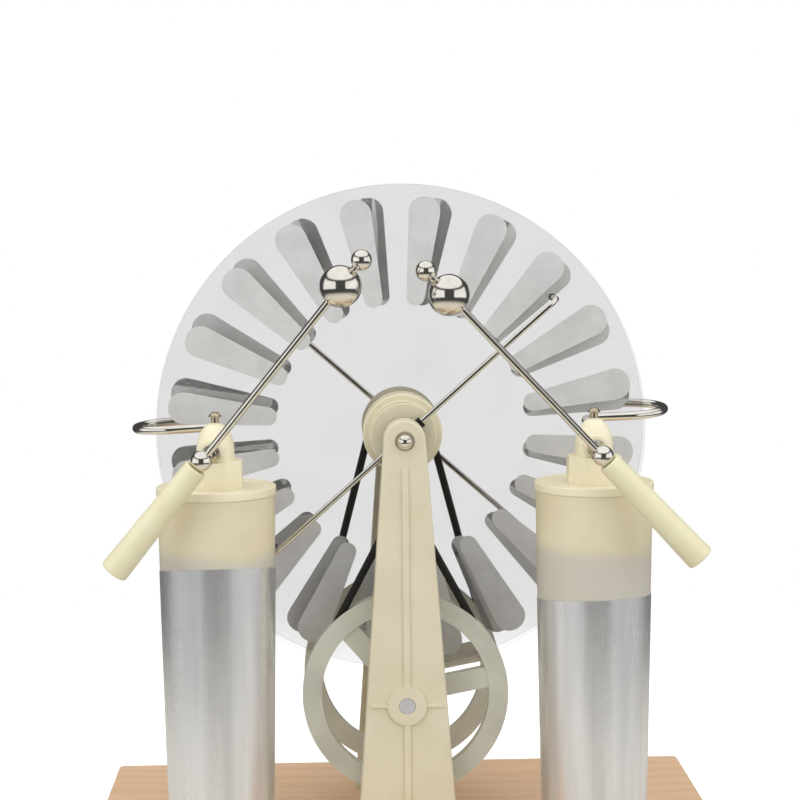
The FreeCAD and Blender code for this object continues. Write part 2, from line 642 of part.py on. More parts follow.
def make_pulley(side, turn, degrees):
    """A moulded pulley: spigot through the disc, wide boss, belt groove and end flange."""
    name = side.capitalize()
    body = node(new_body(f"{name}Pulley"), f"{side}_pulley")
    bore = S.axle_radius + S.fit_running
    profile = new_sketch(body, f"{name}_pulley_profile", "XY_Plane")
    groove_radius = S.belt_radius + S.belt_groove_clearance
    near = -S.belt_plane + groove_radius
    far = -S.belt_plane - groove_radius
    flare = S.pulley_groove_flare
    draw(profile, (bore, -S.pulley_spigot_gap), [
        (S.pulley_spigot_radius, -S.pulley_spigot_gap),
        (S.pulley_spigot_radius, -disc_outer),
        (S.pulley_boss_radius, -disc_outer),
        (S.pulley_boss_radius, -S.pulley_boss_end),
        (flange_radius, -S.pulley_boss_end),
        (flange_radius, near + flare),
        (S.pulley_belt_radius, near),
        (S.pulley_belt_radius, far, S.pulley_belt_radius, -S.belt_plane, 1),
        (flange_radius, far - flare),
        (flange_radius, -S.pulley_end),
        (bore, -S.pulley_end),
        (bore, -S.pulley_spigot_gap),
    ])
    revolve(body, profile)
    hole = new_sketch(body, f"{name}_pulley_hole", "XZ_Plane", disc_outer)
    draw_circle(hole, 0, S.hub_screw_circle, S.hub_screw_radius)
    depth = S.hub_screw_length - S.disc_thickness + 1
    around_y(body, pocket(body, hole, depth, reverse=True), S.hub_screw_count)
    move(body, 0, 0, axis_z, turned(turn, degrees))

    screws = node(new_body(f"{name}PulleyScrews"), f"{side}_pulley_screws")
    head = new_sketch(screws, f"{name}_hub_screw_head", "XZ_Plane", disc_inner)
    draw_circle(head, 0, S.hub_screw_circle, S.hub_screw_head_radius)
    heads = pad(screws, head, S.hub_screw_head, reverse=True)
    shank = new_sketch(screws, f"{name}_hub_screw_shank", "XZ_Plane", disc_inner)
    draw_circle(shank, 0, S.hub_screw_circle, S.hub_screw_radius)
    shanks = pad(screws, shank, S.hub_screw_length)
    slot = new_sketch(screws, f"{name}_hub_screw_slot", "XZ_Plane", disc_inner - S.hub_screw_head)
    reach = S.hub_screw_head_radius + 0.2
    draw_box(slot, -reach, S.hub_screw_circle - 0.35, reach, S.hub_screw_circle + 0.35)
    slots = pocket(screws, slot, S.hub_screw_head / 2, reverse=True)
    ring = around_y(screws, heads, S.hub_screw_count)
    ring.Originals = [heads, shanks, slots]
    doc.recompute()
    move(screws, 0, 0, axis_z, turned(turn, degrees))


# ----------------------------------------------------------------------------------------
# Crank shaft, drive wheels, crank and belts
# ----------------------------------------------------------------------------------------
def make_wheel(side, turn, spoke_turn):
    """A moulded three-spoke wheel with a round-bottomed belt groove in its rim."""
    name = side.capitalize()
    body = node(new_body(f"{name}Wheel"), f"{side}_wheel")
    bore = S.shaft_radius + S.fit_press
    hub = new_sketch(body, f"{name}_wheel_hub", "XY_Plane")
    draw_box(hub, bore, -S.wheel_hub_outer, S.wheel_hub_radius, -S.wheel_hub_inner)
    revolve(body, hub)
    spoke = new_sketch(body, f"{name}_wheel_spoke", "XZ_Plane", S.belt_plane)
    half = S.spoke_width / 2
    draw_box(spoke, S.wheel_hub_radius / 2 + 2.5, -half, rim_inner + 2, half)
    around_y(body, pad(body, spoke, S.spoke_thickness, midplane=True), S.spoke_count)
    rim = new_sketch(body, f"{name}_wheel_rim", "XY_Plane")
    groove_radius = S.belt_radius + S.belt_groove_clearance
    near = -S.belt_plane + groove_radius
    far = -S.belt_plane - groove_radius
    half_width = S.wheel_width / 2
    flare = S.wheel_groove_flare
    draw(rim, (rim_inner, -S.belt_plane + half_width), [
        (wheel_radius, -S.belt_plane + half_width),
        (wheel_radius, near + flare),
        (S.wheel_belt_radius, near),
        (S.wheel_belt_radius, far, S.wheel_belt_radius, -S.belt_plane, 1),
        (wheel_radius, far - flare),
        (wheel_radius, -S.belt_plane - half_width),
        (rim_inner, -S.belt_plane - half_width),
        (rim_inner, -S.belt_plane + half_width),
    ])
    revolve(body, rim)
    screw = new_sketch(body, f"{name}_wheel_screw", "XY_Plane")
    draw_circle(screw, 0, -S.wheel_hub_outer + 4.5, S.set_screw_radius)
    pocket(body, screw, S.wheel_hub_radius + 1, reverse=True)
    move(body, 0, 0, crank_z, turned(turn, spoke_turn))


def make_crank():
    shaft = rod("shaft_bar", S.shaft_radius, S.shaft_front + S.shaft_back,
                0, -S.shaft_front, crank_z, "y")
    node(shaft, "crank_shaft")

    arm = node(new_body("CrankArm"), "crank_arm")
    start = S.crank_arm_start
    half = S.crank_arm_width / 2
    throw = -S.crank_throw
    outline = new_sketch(arm, "arm_outline", "XZ_Plane", -start - S.crank_arm_thickness)
    draw(outline, (-half, throw),
         [(half, throw, 0, throw), (half, 0), (-half, 0, 0, 0), (-half, throw)])
    pad(arm, outline, S.crank_arm_thickness)
    boss = new_sketch(arm, "arm_boss", "XZ_Plane", -S.crank_boss_end)
    draw_circle(boss, 0, 0, S.crank_boss_radius)
    pad(arm, boss, S.crank_boss_end - start)
    holes = new_sketch(arm, "arm_holes", "XZ_Plane", -start + 2)
    draw_circle(holes, 0, 0, S.shaft_radius + S.fit_press)
    draw_circle(holes, 0, throw, S.crank_pin_radius)
    pocket(arm, holes, S.crank_boss_end - start + 4)
    screw = new_sketch(arm, "arm_screw_hole", "XY_Plane")
    draw_circle(screw, 0, S.crank_boss_end - 2.6, S.set_screw_radius)
    pocket(arm, screw, S.crank_boss_radius + 1, reverse=True)
    move(arm, 0, 0, crank_z)

    screws = []
    places = [(-S.wheel_hub_outer + 4.5, S.front_spoke_angle.number),
              (S.wheel_hub_outer - 4.5, S.rear_spoke_angle.number),
              (S.crank_boss_end - 2.6, 0)]
    for i, (y, angle) in enumerate(places):
        radial = S.shaft_radius + S.fit_press
        length = S.set_screw_length - (2 if i == 2 else 0)
        blank = rod(f"set_screw_blank{i}", S.set_screw_radius, length, 0, y, radial)
        socket = rod(f"set_screw_socket{i}", S.set_screw_radius / 2, 2, 0, y, radial + length - 2)
        screw = cut(f"set_screw{i}", blank, socket)
        screw.Placement = Placement(Vector(0, 0, 0), Rotation(Vector(0, 1, 0), angle))
        screws.append(screw)
    all_screws = compound("SetScrews", screws)
    move(all_screws, 0, 0, crank_z)
    node(all_screws, "crank_set_screws")

    low = crank_z - S.crank_throw
    pin_reach = S.grip_end + 3 - start
    pin = rod("pin_bar", S.crank_pin_radius, pin_reach, 0, start, low, "y")
    head = rod("pin_head_disc", S.pin_head_radius, S.pin_head, 0, start + pin_reach - S.pin_head, low, "y")
    node(fuse("GripPin", [pin, head]), "grip_pin")

    grip = node(new_body("CrankGrip"), "crank_grip")
    profile = new_sketch(grip, "grip_profile", "XY_Plane")
    bore = S.crank_pin_radius + S.fit_running
    end = S.grip_end
    draw(profile, (bore, S.grip_start), [
        (S.grip_neck_radius, S.grip_start),
        (S.grip_neck_radius, S.grip_start + S.grip_neck_length),
        (S.grip_radius, S.grip_start + S.grip_neck_length + S.grip_shoulder),
        (S.grip_radius, end - S.grip_tail),
        (S.grip_neck_radius + S.grip_tail_proud, end),
        (bore, end),
        (bore, S.grip_start),
    ])
    revolve(grip, profile)
    top = S.grip_start.number + S.grip_neck_length.number / 2
    wide = S.crank_pin_radius.number * 3
    fillet(grip, S.grip_edge_round, lambda e: box_of(e).YMin > top and box_of(e).XLength > wide)
    move(grip, 0, 0, low)


def belt_points(crossed):
    """Centre line of a belt round the wheel (below) and the pulley (above), as points.

    Angles run clockwise from straight up.  The runs of a crossed belt pass each other with a
    sideways shift that fades to nothing where the belt meets the wheel and the pulley.
    """
    big, small = S.wheel_belt_radius.number, S.pulley_belt_radius.number
    drop = crank_drop.number
    lean = math.acos((big + small if crossed else big - small) / drop)
    shift = S.belt_crossing_shift.number if crossed else 0.0

    def at(centre, radius, angle, side=0.0):
        return Vector(radius * math.sin(angle), side, centre + radius * math.cos(angle))

    def run(start, finish, side):
        crossing = big / (big + small)
        if start.z > finish.z:
            crossing = 1 - crossing
        points = []
        for k in range(1, 16):
            t = k / 16
            near = t / crossing if t < crossing else (1 - t) / (1 - crossing)
            wave = 0.5 - 0.5 * math.cos(math.pi * near)
            point = start + (finish - start) * t
            points.append(point + Vector(0, side * shift * wave, 0))
        return points

    wheel_turn = [lean + (2 * math.pi - 2 * lean) * k / 24 for k in range(25)]
    points = [at(-drop, big, angle) for angle in wheel_turn]
    if crossed:
        first, last = math.pi - lean, -(math.pi - lean)
    else:
        first, last = -lean, lean
    pulley_turn = [first + (last - first) * k / 16 for k in range(17)]
    arc = [at(0.0, small, angle) for angle in pulley_turn]
    points += run(points[-1], arc[0], 1) + arc + run(arc[-1], points[0], -1)
    return points


def make_belt(side, crossed, plane, turn):
    points = belt_points(crossed)
    curve = Part.BSplineCurve()
    curve.interpolate(Points=points, PeriodicFlag=True)
    path = Part.Wire([curve.toShape()])
    tangent = curve.tangent(curve.FirstParameter)[0]
    ring = Part.Wire([Part.makeCircle(S.belt_radius.number, points[0], tangent)])
    sweep = Part.BRepOffsetAPI.MakePipeShell(path)
    sweep.setBiNormalMode(Vector(0, 1, 0))
    sweep.add(ring)
    sweep.build()
    sweep.makeSolid()
    shape = sweep.shape()
    belt = doc.addObject("Part::Feature", f"{side.capitalize()}Belt")
    belt.Shape = shape
    move(belt, 0, plane, axis_z, turn)
    node(belt, f"{side}_belt")


# ----------------------------------------------------------------------------------------
# Neutralisers
# ----------------------------------------------------------------------------------------
def pipe(body, name, start, steps, radius, start_role, start_offset, profile_at):
    """Sweep a round bar along a bent path."""
    path = new_sketch(body, f"{name}_path", "XY_Plane")
    draw(path, start, steps, closed=False)
    profile = new_sketch(body, f"{name}_section", start_role, start_offset)
    draw_circle(profile, profile_at[0], profile_at[1], radius)
    feature = body.newObject("PartDesign::AdditivePipe", f"{name}_pipe")
    feature.Profile = profile
    feature.Spine = path
    doc.recompute()
    return feature


def make_neutraliser(side, turn, degrees):
    name = side.capitalize()
    plane, bend = S.bar_plane, S.bar_bend
    spin = turned(turn, degrees)
    low, high = S.bar_lower_inset - S.disc_radius, S.disc_radius - S.bar_upper_inset
    halves = []
    for half, end, sign in (("lower", low, -1), ("upper", high, 1)):
        bar = new_body(f"{name}Bar{half.capitalize()}")
        corner = end - bend * sign
        pipe(bar, f"{name}_bar_{half}", (end, -S.bar_end), [
            (end, -plane + bend),
            (corner, -plane, corner, -plane + bend, -sign),
            (S.bar_start * sign, -plane),
        ], S.bar_radius, "XZ_Plane", S.bar_end, (end, 0))
        halves.append(bar)
    pair = compound(f"{name}NeutraliserRod", halves)
    move(pair, 0, 0, axis_z, spin)
    node(pair, f"{side}_neutralizer_rod")

    length = S.bar_hub_outer - S.bar_hub_inner
    hub = rod(f"{name}_bar_hub", S.bar_hub_radius, length, 0, -S.bar_hub_outer, 0, "y")
    ferrule = rod(f"{name}_bar_ferrule", S.bar_ferrule_radius, S.bar_ferrule_reach * 2,
                  -S.bar_ferrule_reach, -plane, 0, "x")
    tunnel = rod(f"{name}_bar_tunnel", S.bar_radius + S.fit_press, S.bar_ferrule_reach * 2,
                 -S.bar_ferrule_reach, -plane, 0, "x")
    blank = cut(f"{name}_bar_blank", fuse(f"{name}_bar_solid", [hub, ferrule]), tunnel)
    bore = rod(f"{name}_bar_bore", S.axle_radius + S.fit_running, length, 0, -S.bar_hub_outer, 0, "y")
    middle = cut(f"{name}NeutraliserHub", blank, bore)
    move(middle, 0, 0, axis_z, spin)
    node(middle, f"{side}_neutralizer_hub")

    tufts = []
    for i, x in enumerate((low, high)):
        tip = S.bar_end + 2 - S.brush_end
        tuft = cone(f"{name}_tuft{i}", S.bar_radius + 0.5, S.brush_radius, tip,
                    x, -(S.bar_end + 2), 0, "y")
        seat = rod(f"{name}_tuft_seat{i}", S.bar_radius + S.fit_press, 2, x, -(S.bar_end + 2), 0, "y")
        tufts.append(cut(f"{name}_brush{i}", tuft, seat))
    brushes = compound(f"{name}NeutraliserBrushes", tufts)
    move(brushes, 0, 0, axis_z, spin)
    node(brushes, f"{side}_neutralizer_brushes")


# ----------------------------------------------------------------------------------------
# Leyden jars
# ----------------------------------------------------------------------------------------
def jar_slope():
    """Growth of the jar's radius per millimetre of height."""
    return (S.jar_top_radius - S.jar_bottom_radius) / (lid_z - jar_z)


def jar_radius(height):
    return S.jar_bottom_radius + jar_slope() * height


def make_jar(side):
    name = side.capitalize()
    sign = side_sign(side)
    x, y = jar_offset * sign, -S.jar_forward
    rim = lid_z - S.lid_thickness - jar_z
    wall, floor = S.jar_wall, S.jar_floor
    jar = node(new_body(f"{name}Jar"), f"{side}_jar")
    profile = new_sketch(jar, f"{name}_jar_profile", "XZ_Plane")
    draw(profile, (0, 0), [
        (S.jar_bottom_radius, 0),
        (jar_radius(rim), rim),
        (jar_radius(rim) - wall, rim),
        (jar_radius(floor) - wall, floor),
        (0, floor),
        (0, 0),
    ])
    revolve(jar, profile)
    move(jar, x, y, jar_z)

    foil = node(new_body(f"{name}OuterFoil"), f"{side}_outer_foil")
    skin = S.foil_thickness
    top = S.outer_foil_left if side == "left" else S.outer_foil_right
    slope, facing = ((S.foil_slope_left, S.foil_turn_left) if side == "left"
                     else (S.foil_slope_right, S.foil_turn_right))
    cap = top + 9
    outside = new_sketch(foil, f"{name}_outer_foil_profile", "XZ_Plane")
    ease = S.fit_press
    draw(outside, (0, -skin), [
        (S.jar_bottom_radius + skin, -skin),
        (jar_radius(cap) + skin, cap),
        (jar_radius(cap) + ease, cap),
        (S.jar_bottom_radius + ease, 0),
        (0, 0),
        (0, -skin),
    ])
    revolve(foil, outside)
    trim = new_sketch(foil, f"{name}_foil_trim", "YZ_Plane")
    wide = S.jar_top_radius + S.jar_wall * 3
    over = top + S.jar_top_radius
    raised = slope * wide.number
    draw(trim, (-wide, top + raised), [
        (wide, top - raised), (wide, over), (-wide, over), (-wide, top + raised)])
    pocket(foil, trim, wide * 2, midplane=True)
    move(foil, x, y, jar_z, Rotation(Vector(0, 0, 1), facing.number))

    lining = node(new_body(f"{name}InnerFoil"), f"{side}_inner_foil")
    inside = new_sketch(lining, f"{name}_inner_foil_profile", "XZ_Plane")
    high = S.inner_foil
    draw(inside, (0, floor), [
        (jar_radius(floor) - wall - ease, floor),
        (jar_radius(high) - wall - ease, high),
        (jar_radius(high) - wall - skin, high),
        (jar_radius(floor + skin) - wall - skin, floor + skin),
        (0, floor + skin),
        (0, floor),
    ])
    revolve(lining, inside)
    move(lining, x, y, jar_z)

    lid = node(new_body(f"{name}Lid"), f"{side}_lid")
    thick, lip = S.lid_thickness, S.lid_lip
    plug = jar_radius(rim - S.lid_plug_depth) - wall - S.fit_press
    cover = new_sketch(lid, f"{name}_lid_profile", "XZ_Plane")
    draw(cover, (S.post_spigot_radius, -thick - S.lid_plug_depth + 3), [
        (plug - 4, -thick - S.lid_plug_depth + 3),
        (plug - 2, -thick - S.lid_plug_depth),
        (plug, -thick - S.lid_plug_depth),
        (plug, -thick),
        (S.lid_radius, -thick),
        (S.lid_radius, lip - 0.4),
        (S.lid_radius - 0.4, lip),
        (S.lid_radius - S.lid_lip_width, lip),
        (S.lid_radius - S.lid_lip_width - 0.8, 0),
        (S.post_spigot_radius, 0),
        (S.post_spigot_radius, -thick - S.lid_plug_depth + 3),
    ])
    revolve(lid, cover)
    move(lid, x, y, lid_z)


def stud_turn(side):
    """Angle about Z by which a post is turned on its lid, in degrees."""
    outward = S.post_turn_left if side == "left" else S.post_turn_right
    return outward.number * side_sign(side)


def collector_facing(side):
    """How a collector is turned: it slopes outwards and its leg rises towards the discs."""
    if side == "left":
        slope, pitch = S.left_collector_angle.number, S.left_collector_pitch.number
    else:
        slope, pitch = S.right_collector_angle.number, S.right_collector_pitch.number
    return Rotation(Vector(0, 1, 0), -slope * side_sign(side)).multiply(
        Rotation(Vector(1, 0, 0), pitch))


def stud_facing(side):
    return Rotation(Vector(0, 0, 1), stud_turn(side))


def pivot_place(side):
    """Where the discharge rod's pivot ball sits on the end of its stud."""
    turn = math.radians(stud_turn(side))
    reach = S.pivot_forward - S.jar_forward
    return (jar_offset * side_sign(side) + reach * math.sin(turn),
            -S.jar_forward - reach * math.cos(turn), stud_z)


def make_post(side):
    """The moulded post on a jar's lid, with its metal contact rod inside."""
    name = side.capitalize()
    sign = side_sign(side)
    x, y = jar_offset * sign, -S.jar_forward
    post = new_body(f"{name}Post")
    radius, height = S.post_radius, S.post_height
    profile = new_sketch(post, f"{name}_post_profile", "XZ_Plane")
    shoulder = height - radius * 0.62
    draw(profile, (0, -S.post_spigot_depth), [
        (S.post_spigot_radius, -S.post_spigot_depth),
        (S.post_spigot_radius, 0),
        (radius + 0.4, 0),
        (radius, shoulder - 6.5),
        (radius * 0.95, shoulder - 3),
        (radius * 0.83, shoulder + 0.2),
        (radius * 0.65, height - 3.2),
        (radius * 0.45, height - 1.2),
        (radius * 0.25, height),
        (0, height),
        (0, -S.post_spigot_depth),
    ])
    revolve(post, profile)
    boss = new_sketch(post, f"{name}_post_boss", "XY_Plane")
    far = S.post_boss_radius * 0.9239
    close = S.post_boss_radius * 0.3827
    corners = [(far, close), (close, far), (-close, far), (-far, close),
               (-far, -close), (-close, -far), (close, -far), (far, -close)]
    draw(boss, corners[-1], corners)
    pad(post, boss, S.post_boss_height)
    facing = Placement(Vector(), Rotation(Vector(0, 1, 0), stud_turn(side)))
    seat = new_sketch(post, f"{name}_post_seat", "XZ_Plane")
    seat.AttachmentOffset = facing
    draw_circle(seat, 0, S.stud_height, S.stud_seat_radius)
    pad(post, seat, S.stud_seat_reach)
    core = new_sketch(post, f"{name}_post_core", "XY_Plane", -S.post_spigot_depth)
    draw_circle(core, 0, 0, S.core_radius)
    pocket(post, core, S.post_spigot_depth + S.collector_height - S.collector_radius
           + S.core_headroom, reverse=True)
    stud = new_sketch(post, f"{name}_post_stud_hole", "XZ_Plane")
    stud.AttachmentOffset = facing
    draw_circle(stud, 0, S.stud_height, S.stud_radius)
    pocket(post, stud, S.post_boss_radius + 4, reverse=True)
    clamp = new_sketch(post, f"{name}_post_clamp_hole", "XY_Plane", S.post_height + 1)
    draw_circle(clamp, 0, 0, S.clamp_screw_radius)
    pocket(post, clamp, S.post_height + 1 - S.collector_height)
    leg = rod(f"{name}_post_leg_hole", S.collector_radius, S.collector_in_post + S.post_boss_radius)
    along = collector_facing(side).multVec(Vector(0, 1, 0))
    move(leg, S.collector_in_post * -along.x, S.collector_in_post * -along.y,
         S.collector_height - S.collector_in_post * along.z, Rotation(Vector(0, 0, 1), along))
    drilled = cut(f"{name}DrilledPost", post, leg)
    node(move(drilled, x, y, lid_z), f"{side}_post")

    foot_z = S.jar_floor + S.foil_thickness
    core_top = S.collector_height - S.collector_radius - S.core_radius * (along.z / along.y)
    start = -(lid_z - jar_z) + foot_z
    thin = rod(f"{name}_contact_thin", S.contact_rod_radius, -start, 0, 0, start)
    foot = rod(f"{name}_contact_foot", S.contact_foot_radius, S.contact_foot, 0, 0, start)
    thick = rod(f"{name}_contact_core", S.core_radius, S.post_spigot_depth + core_top,
                0, 0, -S.post_spigot_depth)
    tap = rod(f"{name}_contact_tap", S.stud_radius, S.core_radius + 1, 0, 0, S.stud_height, "-y")
    tap.Placement.Rotation = stud_facing(side).multiply(ALONG["-y"])
    contact = cut(f"{name}ContactRod", fuse(f"{name}_contact_blank", [thin, foot, thick]), tap)
    move(contact, x, y, lid_z)
    node(contact, f"{side}_contact_rod")


def make_clamp_screws():
    screws, studs = [], []
    for i, side in enumerate(("left", "right")):
        x, y = jar_offset * side_sign(side), -S.jar_forward
        along = collector_facing(side).multVec(Vector(0, 1, 0))
        rise = S.clamp_screw_radius * (along.z / along.y)
        bottom = leg_z + S.collector_radius + rise + S.clamp_screw_gap
        under = lid_z + S.post_height + S.clamp_head_lift
        shank = rod(f"clamp_shank{i}", S.clamp_screw_radius, under - bottom, x, y, bottom)
        edge = rod(f"clamp_edge{i}", S.clamp_head_radius, 0.7, x, y, under)
        crown = cone(f"clamp_crown{i}", S.clamp_head_radius, S.clamp_head_radius * 0.45,
                     S.clamp_head_height - 0.7, x, y, under + 0.7)
        screws.append(fuse(f"clamp_screw{i}", [shank, edge, crown]))
        reach = S.pivot_forward - S.jar_forward - S.pivot_ball_radius
        body = rod(f"stud_body{i}", S.stud_radius, reach - 0.25, along="-y")
        collar = rod(f"stud_collar{i}", S.stud_collar_radius, S.stud_collar,
                     0, -S.stud_seat_reach - S.stud_collar_gap, 0, "-y")
        pin = rod(f"stud_pin{i}", S.stud_pin_radius, reach + S.pivot_bore_depth - 0.2, along="-y")
        studs.append(move(fuse(f"stud{i}", [body, collar, pin]), x, y, stud_z, stud_facing(side)))
    node(compound("ClampScrews", screws), "post_clamp_screws")
    node(compound("PivotStuds", studs), "pivot_studs")


def make_link():
    strip = box("LinkStrip", jar_offset * 2 + S.link_width, S.link_width - 0.4, S.link_thickness,
                0, -S.jar_forward, seat_z - S.link_thickness)
    node(strip, "jar_link_strip")


# ----------------------------------------------------------------------------------------
# Charge collectors
# ----------------------------------------------------------------------------------------
def make_collector(side):
    """A bar bent round the edge of the discs, with a row of pins towards each disc."""
    name = side.capitalize()
    sign = side_sign(side)
    body = node(new_body(f"{name}Collector"), f"{side}_collector")
    spread, bend = S.collector_spread, S.collector_bend
    forward = S.jar_forward
    disc = S.disc_radius
    out = (disc + S.collector_beyond_disc - jar_offset - spread) * sign
    corner = bend * sign
    back = (disc - S.collector_back_inset - jar_offset) * sign
    start = -S.collector_in_post
    near, far = forward - spread, forward + spread
    pipe(body, f"{name}_collector", (0, start), [
        (0, near - bend),
        (corner, near, corner, near - bend, -sign),
        (out, near),
        (out, far, out, forward, sign),
        (back, far),
    ], S.collector_radius, "XZ_Plane", -start, (0, 0))
    for row, inset, level, reverse in (("front", S.comb_front_inset, near, True),
                                       ("back", S.comb_back_inset, far, False)):
        pins = new_sketch(body, f"{name}_comb_{row}", "XZ_Plane", -level)
        span = inset.number - S.comb_last_inset.number
        for k in range(int(span / S.comb_pitch.number + 1e-6) + 1):
            place = disc - inset + S.comb_pitch * k - jar_offset
            draw_circle(pins, place * sign, 0, S.comb_radius)
        pad(body, pins, S.collector_spread - S.comb_tip, reverse=reverse)
    move(body, jar_offset * sign, -S.jar_forward, leg_z, collector_facing(side))


# ----------------------------------------------------------------------------------------
# Discharge rods
# ----------------------------------------------------------------------------------------
def make_discharge_rod(side, degrees):
    """Rod with its balls and handle, modelled upright on its pivot and leaned inwards."""
    name = side.capitalize()
    sign = side_sign(side)
    lean = stud_facing(side).multiply(Rotation(Vector(0, 1, 0), -degrees * sign))
    x, y, z = pivot_place(side)
    radius = S.spark_rod_radius
    tail = S.handle_bore - 1
    length = spark_tip_distance + tail
    bar = rod(f"{name}SparkRod", radius, length, 0, 0, -tail)
    move(bar, 0, 0, -tail)
    holder = compound(f"{name}SparkRodSet", [bar])
    node(move(holder, x, y, z, lean), f"{side}_spark_rod")

    def drilled(label, node_name, solid, tool):
        made = cut(label, solid, tool)
        node(move(made, x, y, z, lean), f"{side}_{node_name}")

    bore = radius + S.fit_press
    drilled(f"{name}SparkBall", "spark_ball",
            ball(f"{name}_big_ball", S.spark_ball_radius, 0, 0, spark_ball_distance),
            rod(f"{name}_big_bore", bore, S.spark_ball_radius * 2.2, 0, 0,
                spark_ball_distance - S.spark_ball_radius * 1.1))
    drilled(f"{name}SparkTip", "spark_tip",
            ball(f"{name}_small_ball", S.spark_tip_radius, 0, 0, spark_tip_distance),
            rod(f"{name}_small_bore", bore, S.spark_tip_radius * 1.5 + 0.1, 0, 0,
                spark_tip_distance - S.spark_tip_radius * 1.5))
    through = rod(f"{name}_pivot_through", bore, S.pivot_ball_radius * 3, 0, 0,
                  -S.pivot_ball_radius * 1.5)
    socket = rod(f"{name}_pivot_socket", S.stud_pin_radius + S.fit_running,
                 S.pivot_bore_depth + 1, 0, S.pivot_ball_radius - S.pivot_bore_depth, 0, "y")
    drilled(f"{name}PivotBall", "pivot_ball",
            ball(f"{name}_pivot_blank", S.pivot_ball_radius),
            fuse(f"{name}_pivot_bores", [through, socket]))

    grip = node(new_body(f"{name}Handle"), f"{side}_handle")
    profile = new_sketch(grip, f"{name}_handle_profile", "XZ_Plane")
    begin, end = -S.handle_start, -S.handle_end
    first, last = S.handle_start_radius, S.handle_end_radius
    depth = -S.handle_bore
    cup = S.pivot_ball_radius + S.handle_cup_gap
    cup_bottom = -short_side(cup, bore)
    draw(profile, (bore, cup_bottom), [
        (short_side(cup, begin), begin, 0, 0),
        (first - 1, begin),
        (first, begin - 1, first - 1, begin - 1, -1),
        (last, end + 1.2),
        (last - 1.2, end, last - 1.2, end + 1.2, -1),
        (0, end),
        (0, depth),
        (bore, depth),
        (bore, cup_bottom),
    ])
    revolve(grip, profile)
    move(grip, x, y, z, lean)


# ----------------------------------------------------------------------------------------
# Build the machine, check every object and write the pieces
# ----------------------------------------------------------------------------------------
make_base()
make_feet()
make_upright_screws()
make_upright("FrontUpright", "front_upright", FRONT)
make_upright("RearUpright", "rear_upright", REAR)
make_axle()
for side_name, facing, sector_turn in (("front", FRONT, S.front_sector_angle),
                                       ("rear", REAR, S.rear_sector_angle)):
    make_disc(side_name, facing, sector_turn.number)
    make_pulley(side_name, facing, sector_turn.number)
make_wheel("front", FRONT, S.front_spoke_angle.number)
make_wheel("rear", REAR, S.rear_spoke_angle.number)
make_crank()
make_belt("front", True, -S.belt_plane, FRONT)
make_belt("rear", False, S.belt_plane, FRONT)
make_neutraliser("front", FRONT, -S.bar_angle.number)
make_neutraliser("rear", REAR, S.bar_angle.number)
for side_name, rod_turn in (("left", S.left_rod_angle), ("right", S.right_rod_angle)):
    make_jar(side_name)
    make_post(side_name)
    make_collector(side_name)
    make_discharge_rod(side_name, rod_turn.number)
make_clamp_screws()
make_link()

doc.recompute()
for thing in doc.Objects:
    if {"Invalid", "Error"} & set(thing.State):
        raise RuntimeError(f"{thing.Name} failed: {thing.State}")
for piece in NODES:
    if piece.Shape.isNull() or not piece.Shape.isValid() or piece.Shape.Volume <= 0:
        raise RuntimeError(f"{piece.Label} has no valid solid")

os.makedirs("parts", exist_ok=True)
for piece in NODES:
    piece.Shape.exportStep(f"parts/{piece.Label}.step")
    bounds = piece.Shape.BoundBox
    print(f"{piece.Label}: {len(piece.Shape.Solids)} solid(s), volume {piece.Shape.Volume:.1f}, "
          f"x {bounds.XMin:.1f}..{bounds.XMax:.1f} y {bounds.YMin:.1f}..{bounds.YMax:.1f} "
          f"z {bounds.ZMin:.1f}..{bounds.ZMax:.1f}")
print(f"{len(NODES)} pieces written")
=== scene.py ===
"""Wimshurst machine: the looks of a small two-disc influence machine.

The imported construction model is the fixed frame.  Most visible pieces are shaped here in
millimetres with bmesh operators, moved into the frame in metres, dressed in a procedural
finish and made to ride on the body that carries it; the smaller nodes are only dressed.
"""

import json
import logging
import math
from collections.abc import Callable, Iterable, Mapping, Sequence
from dataclasses import dataclass
from enum import Enum
from functools import cache

import bmesh
import bpy
from mathutils import Matrix, Vector

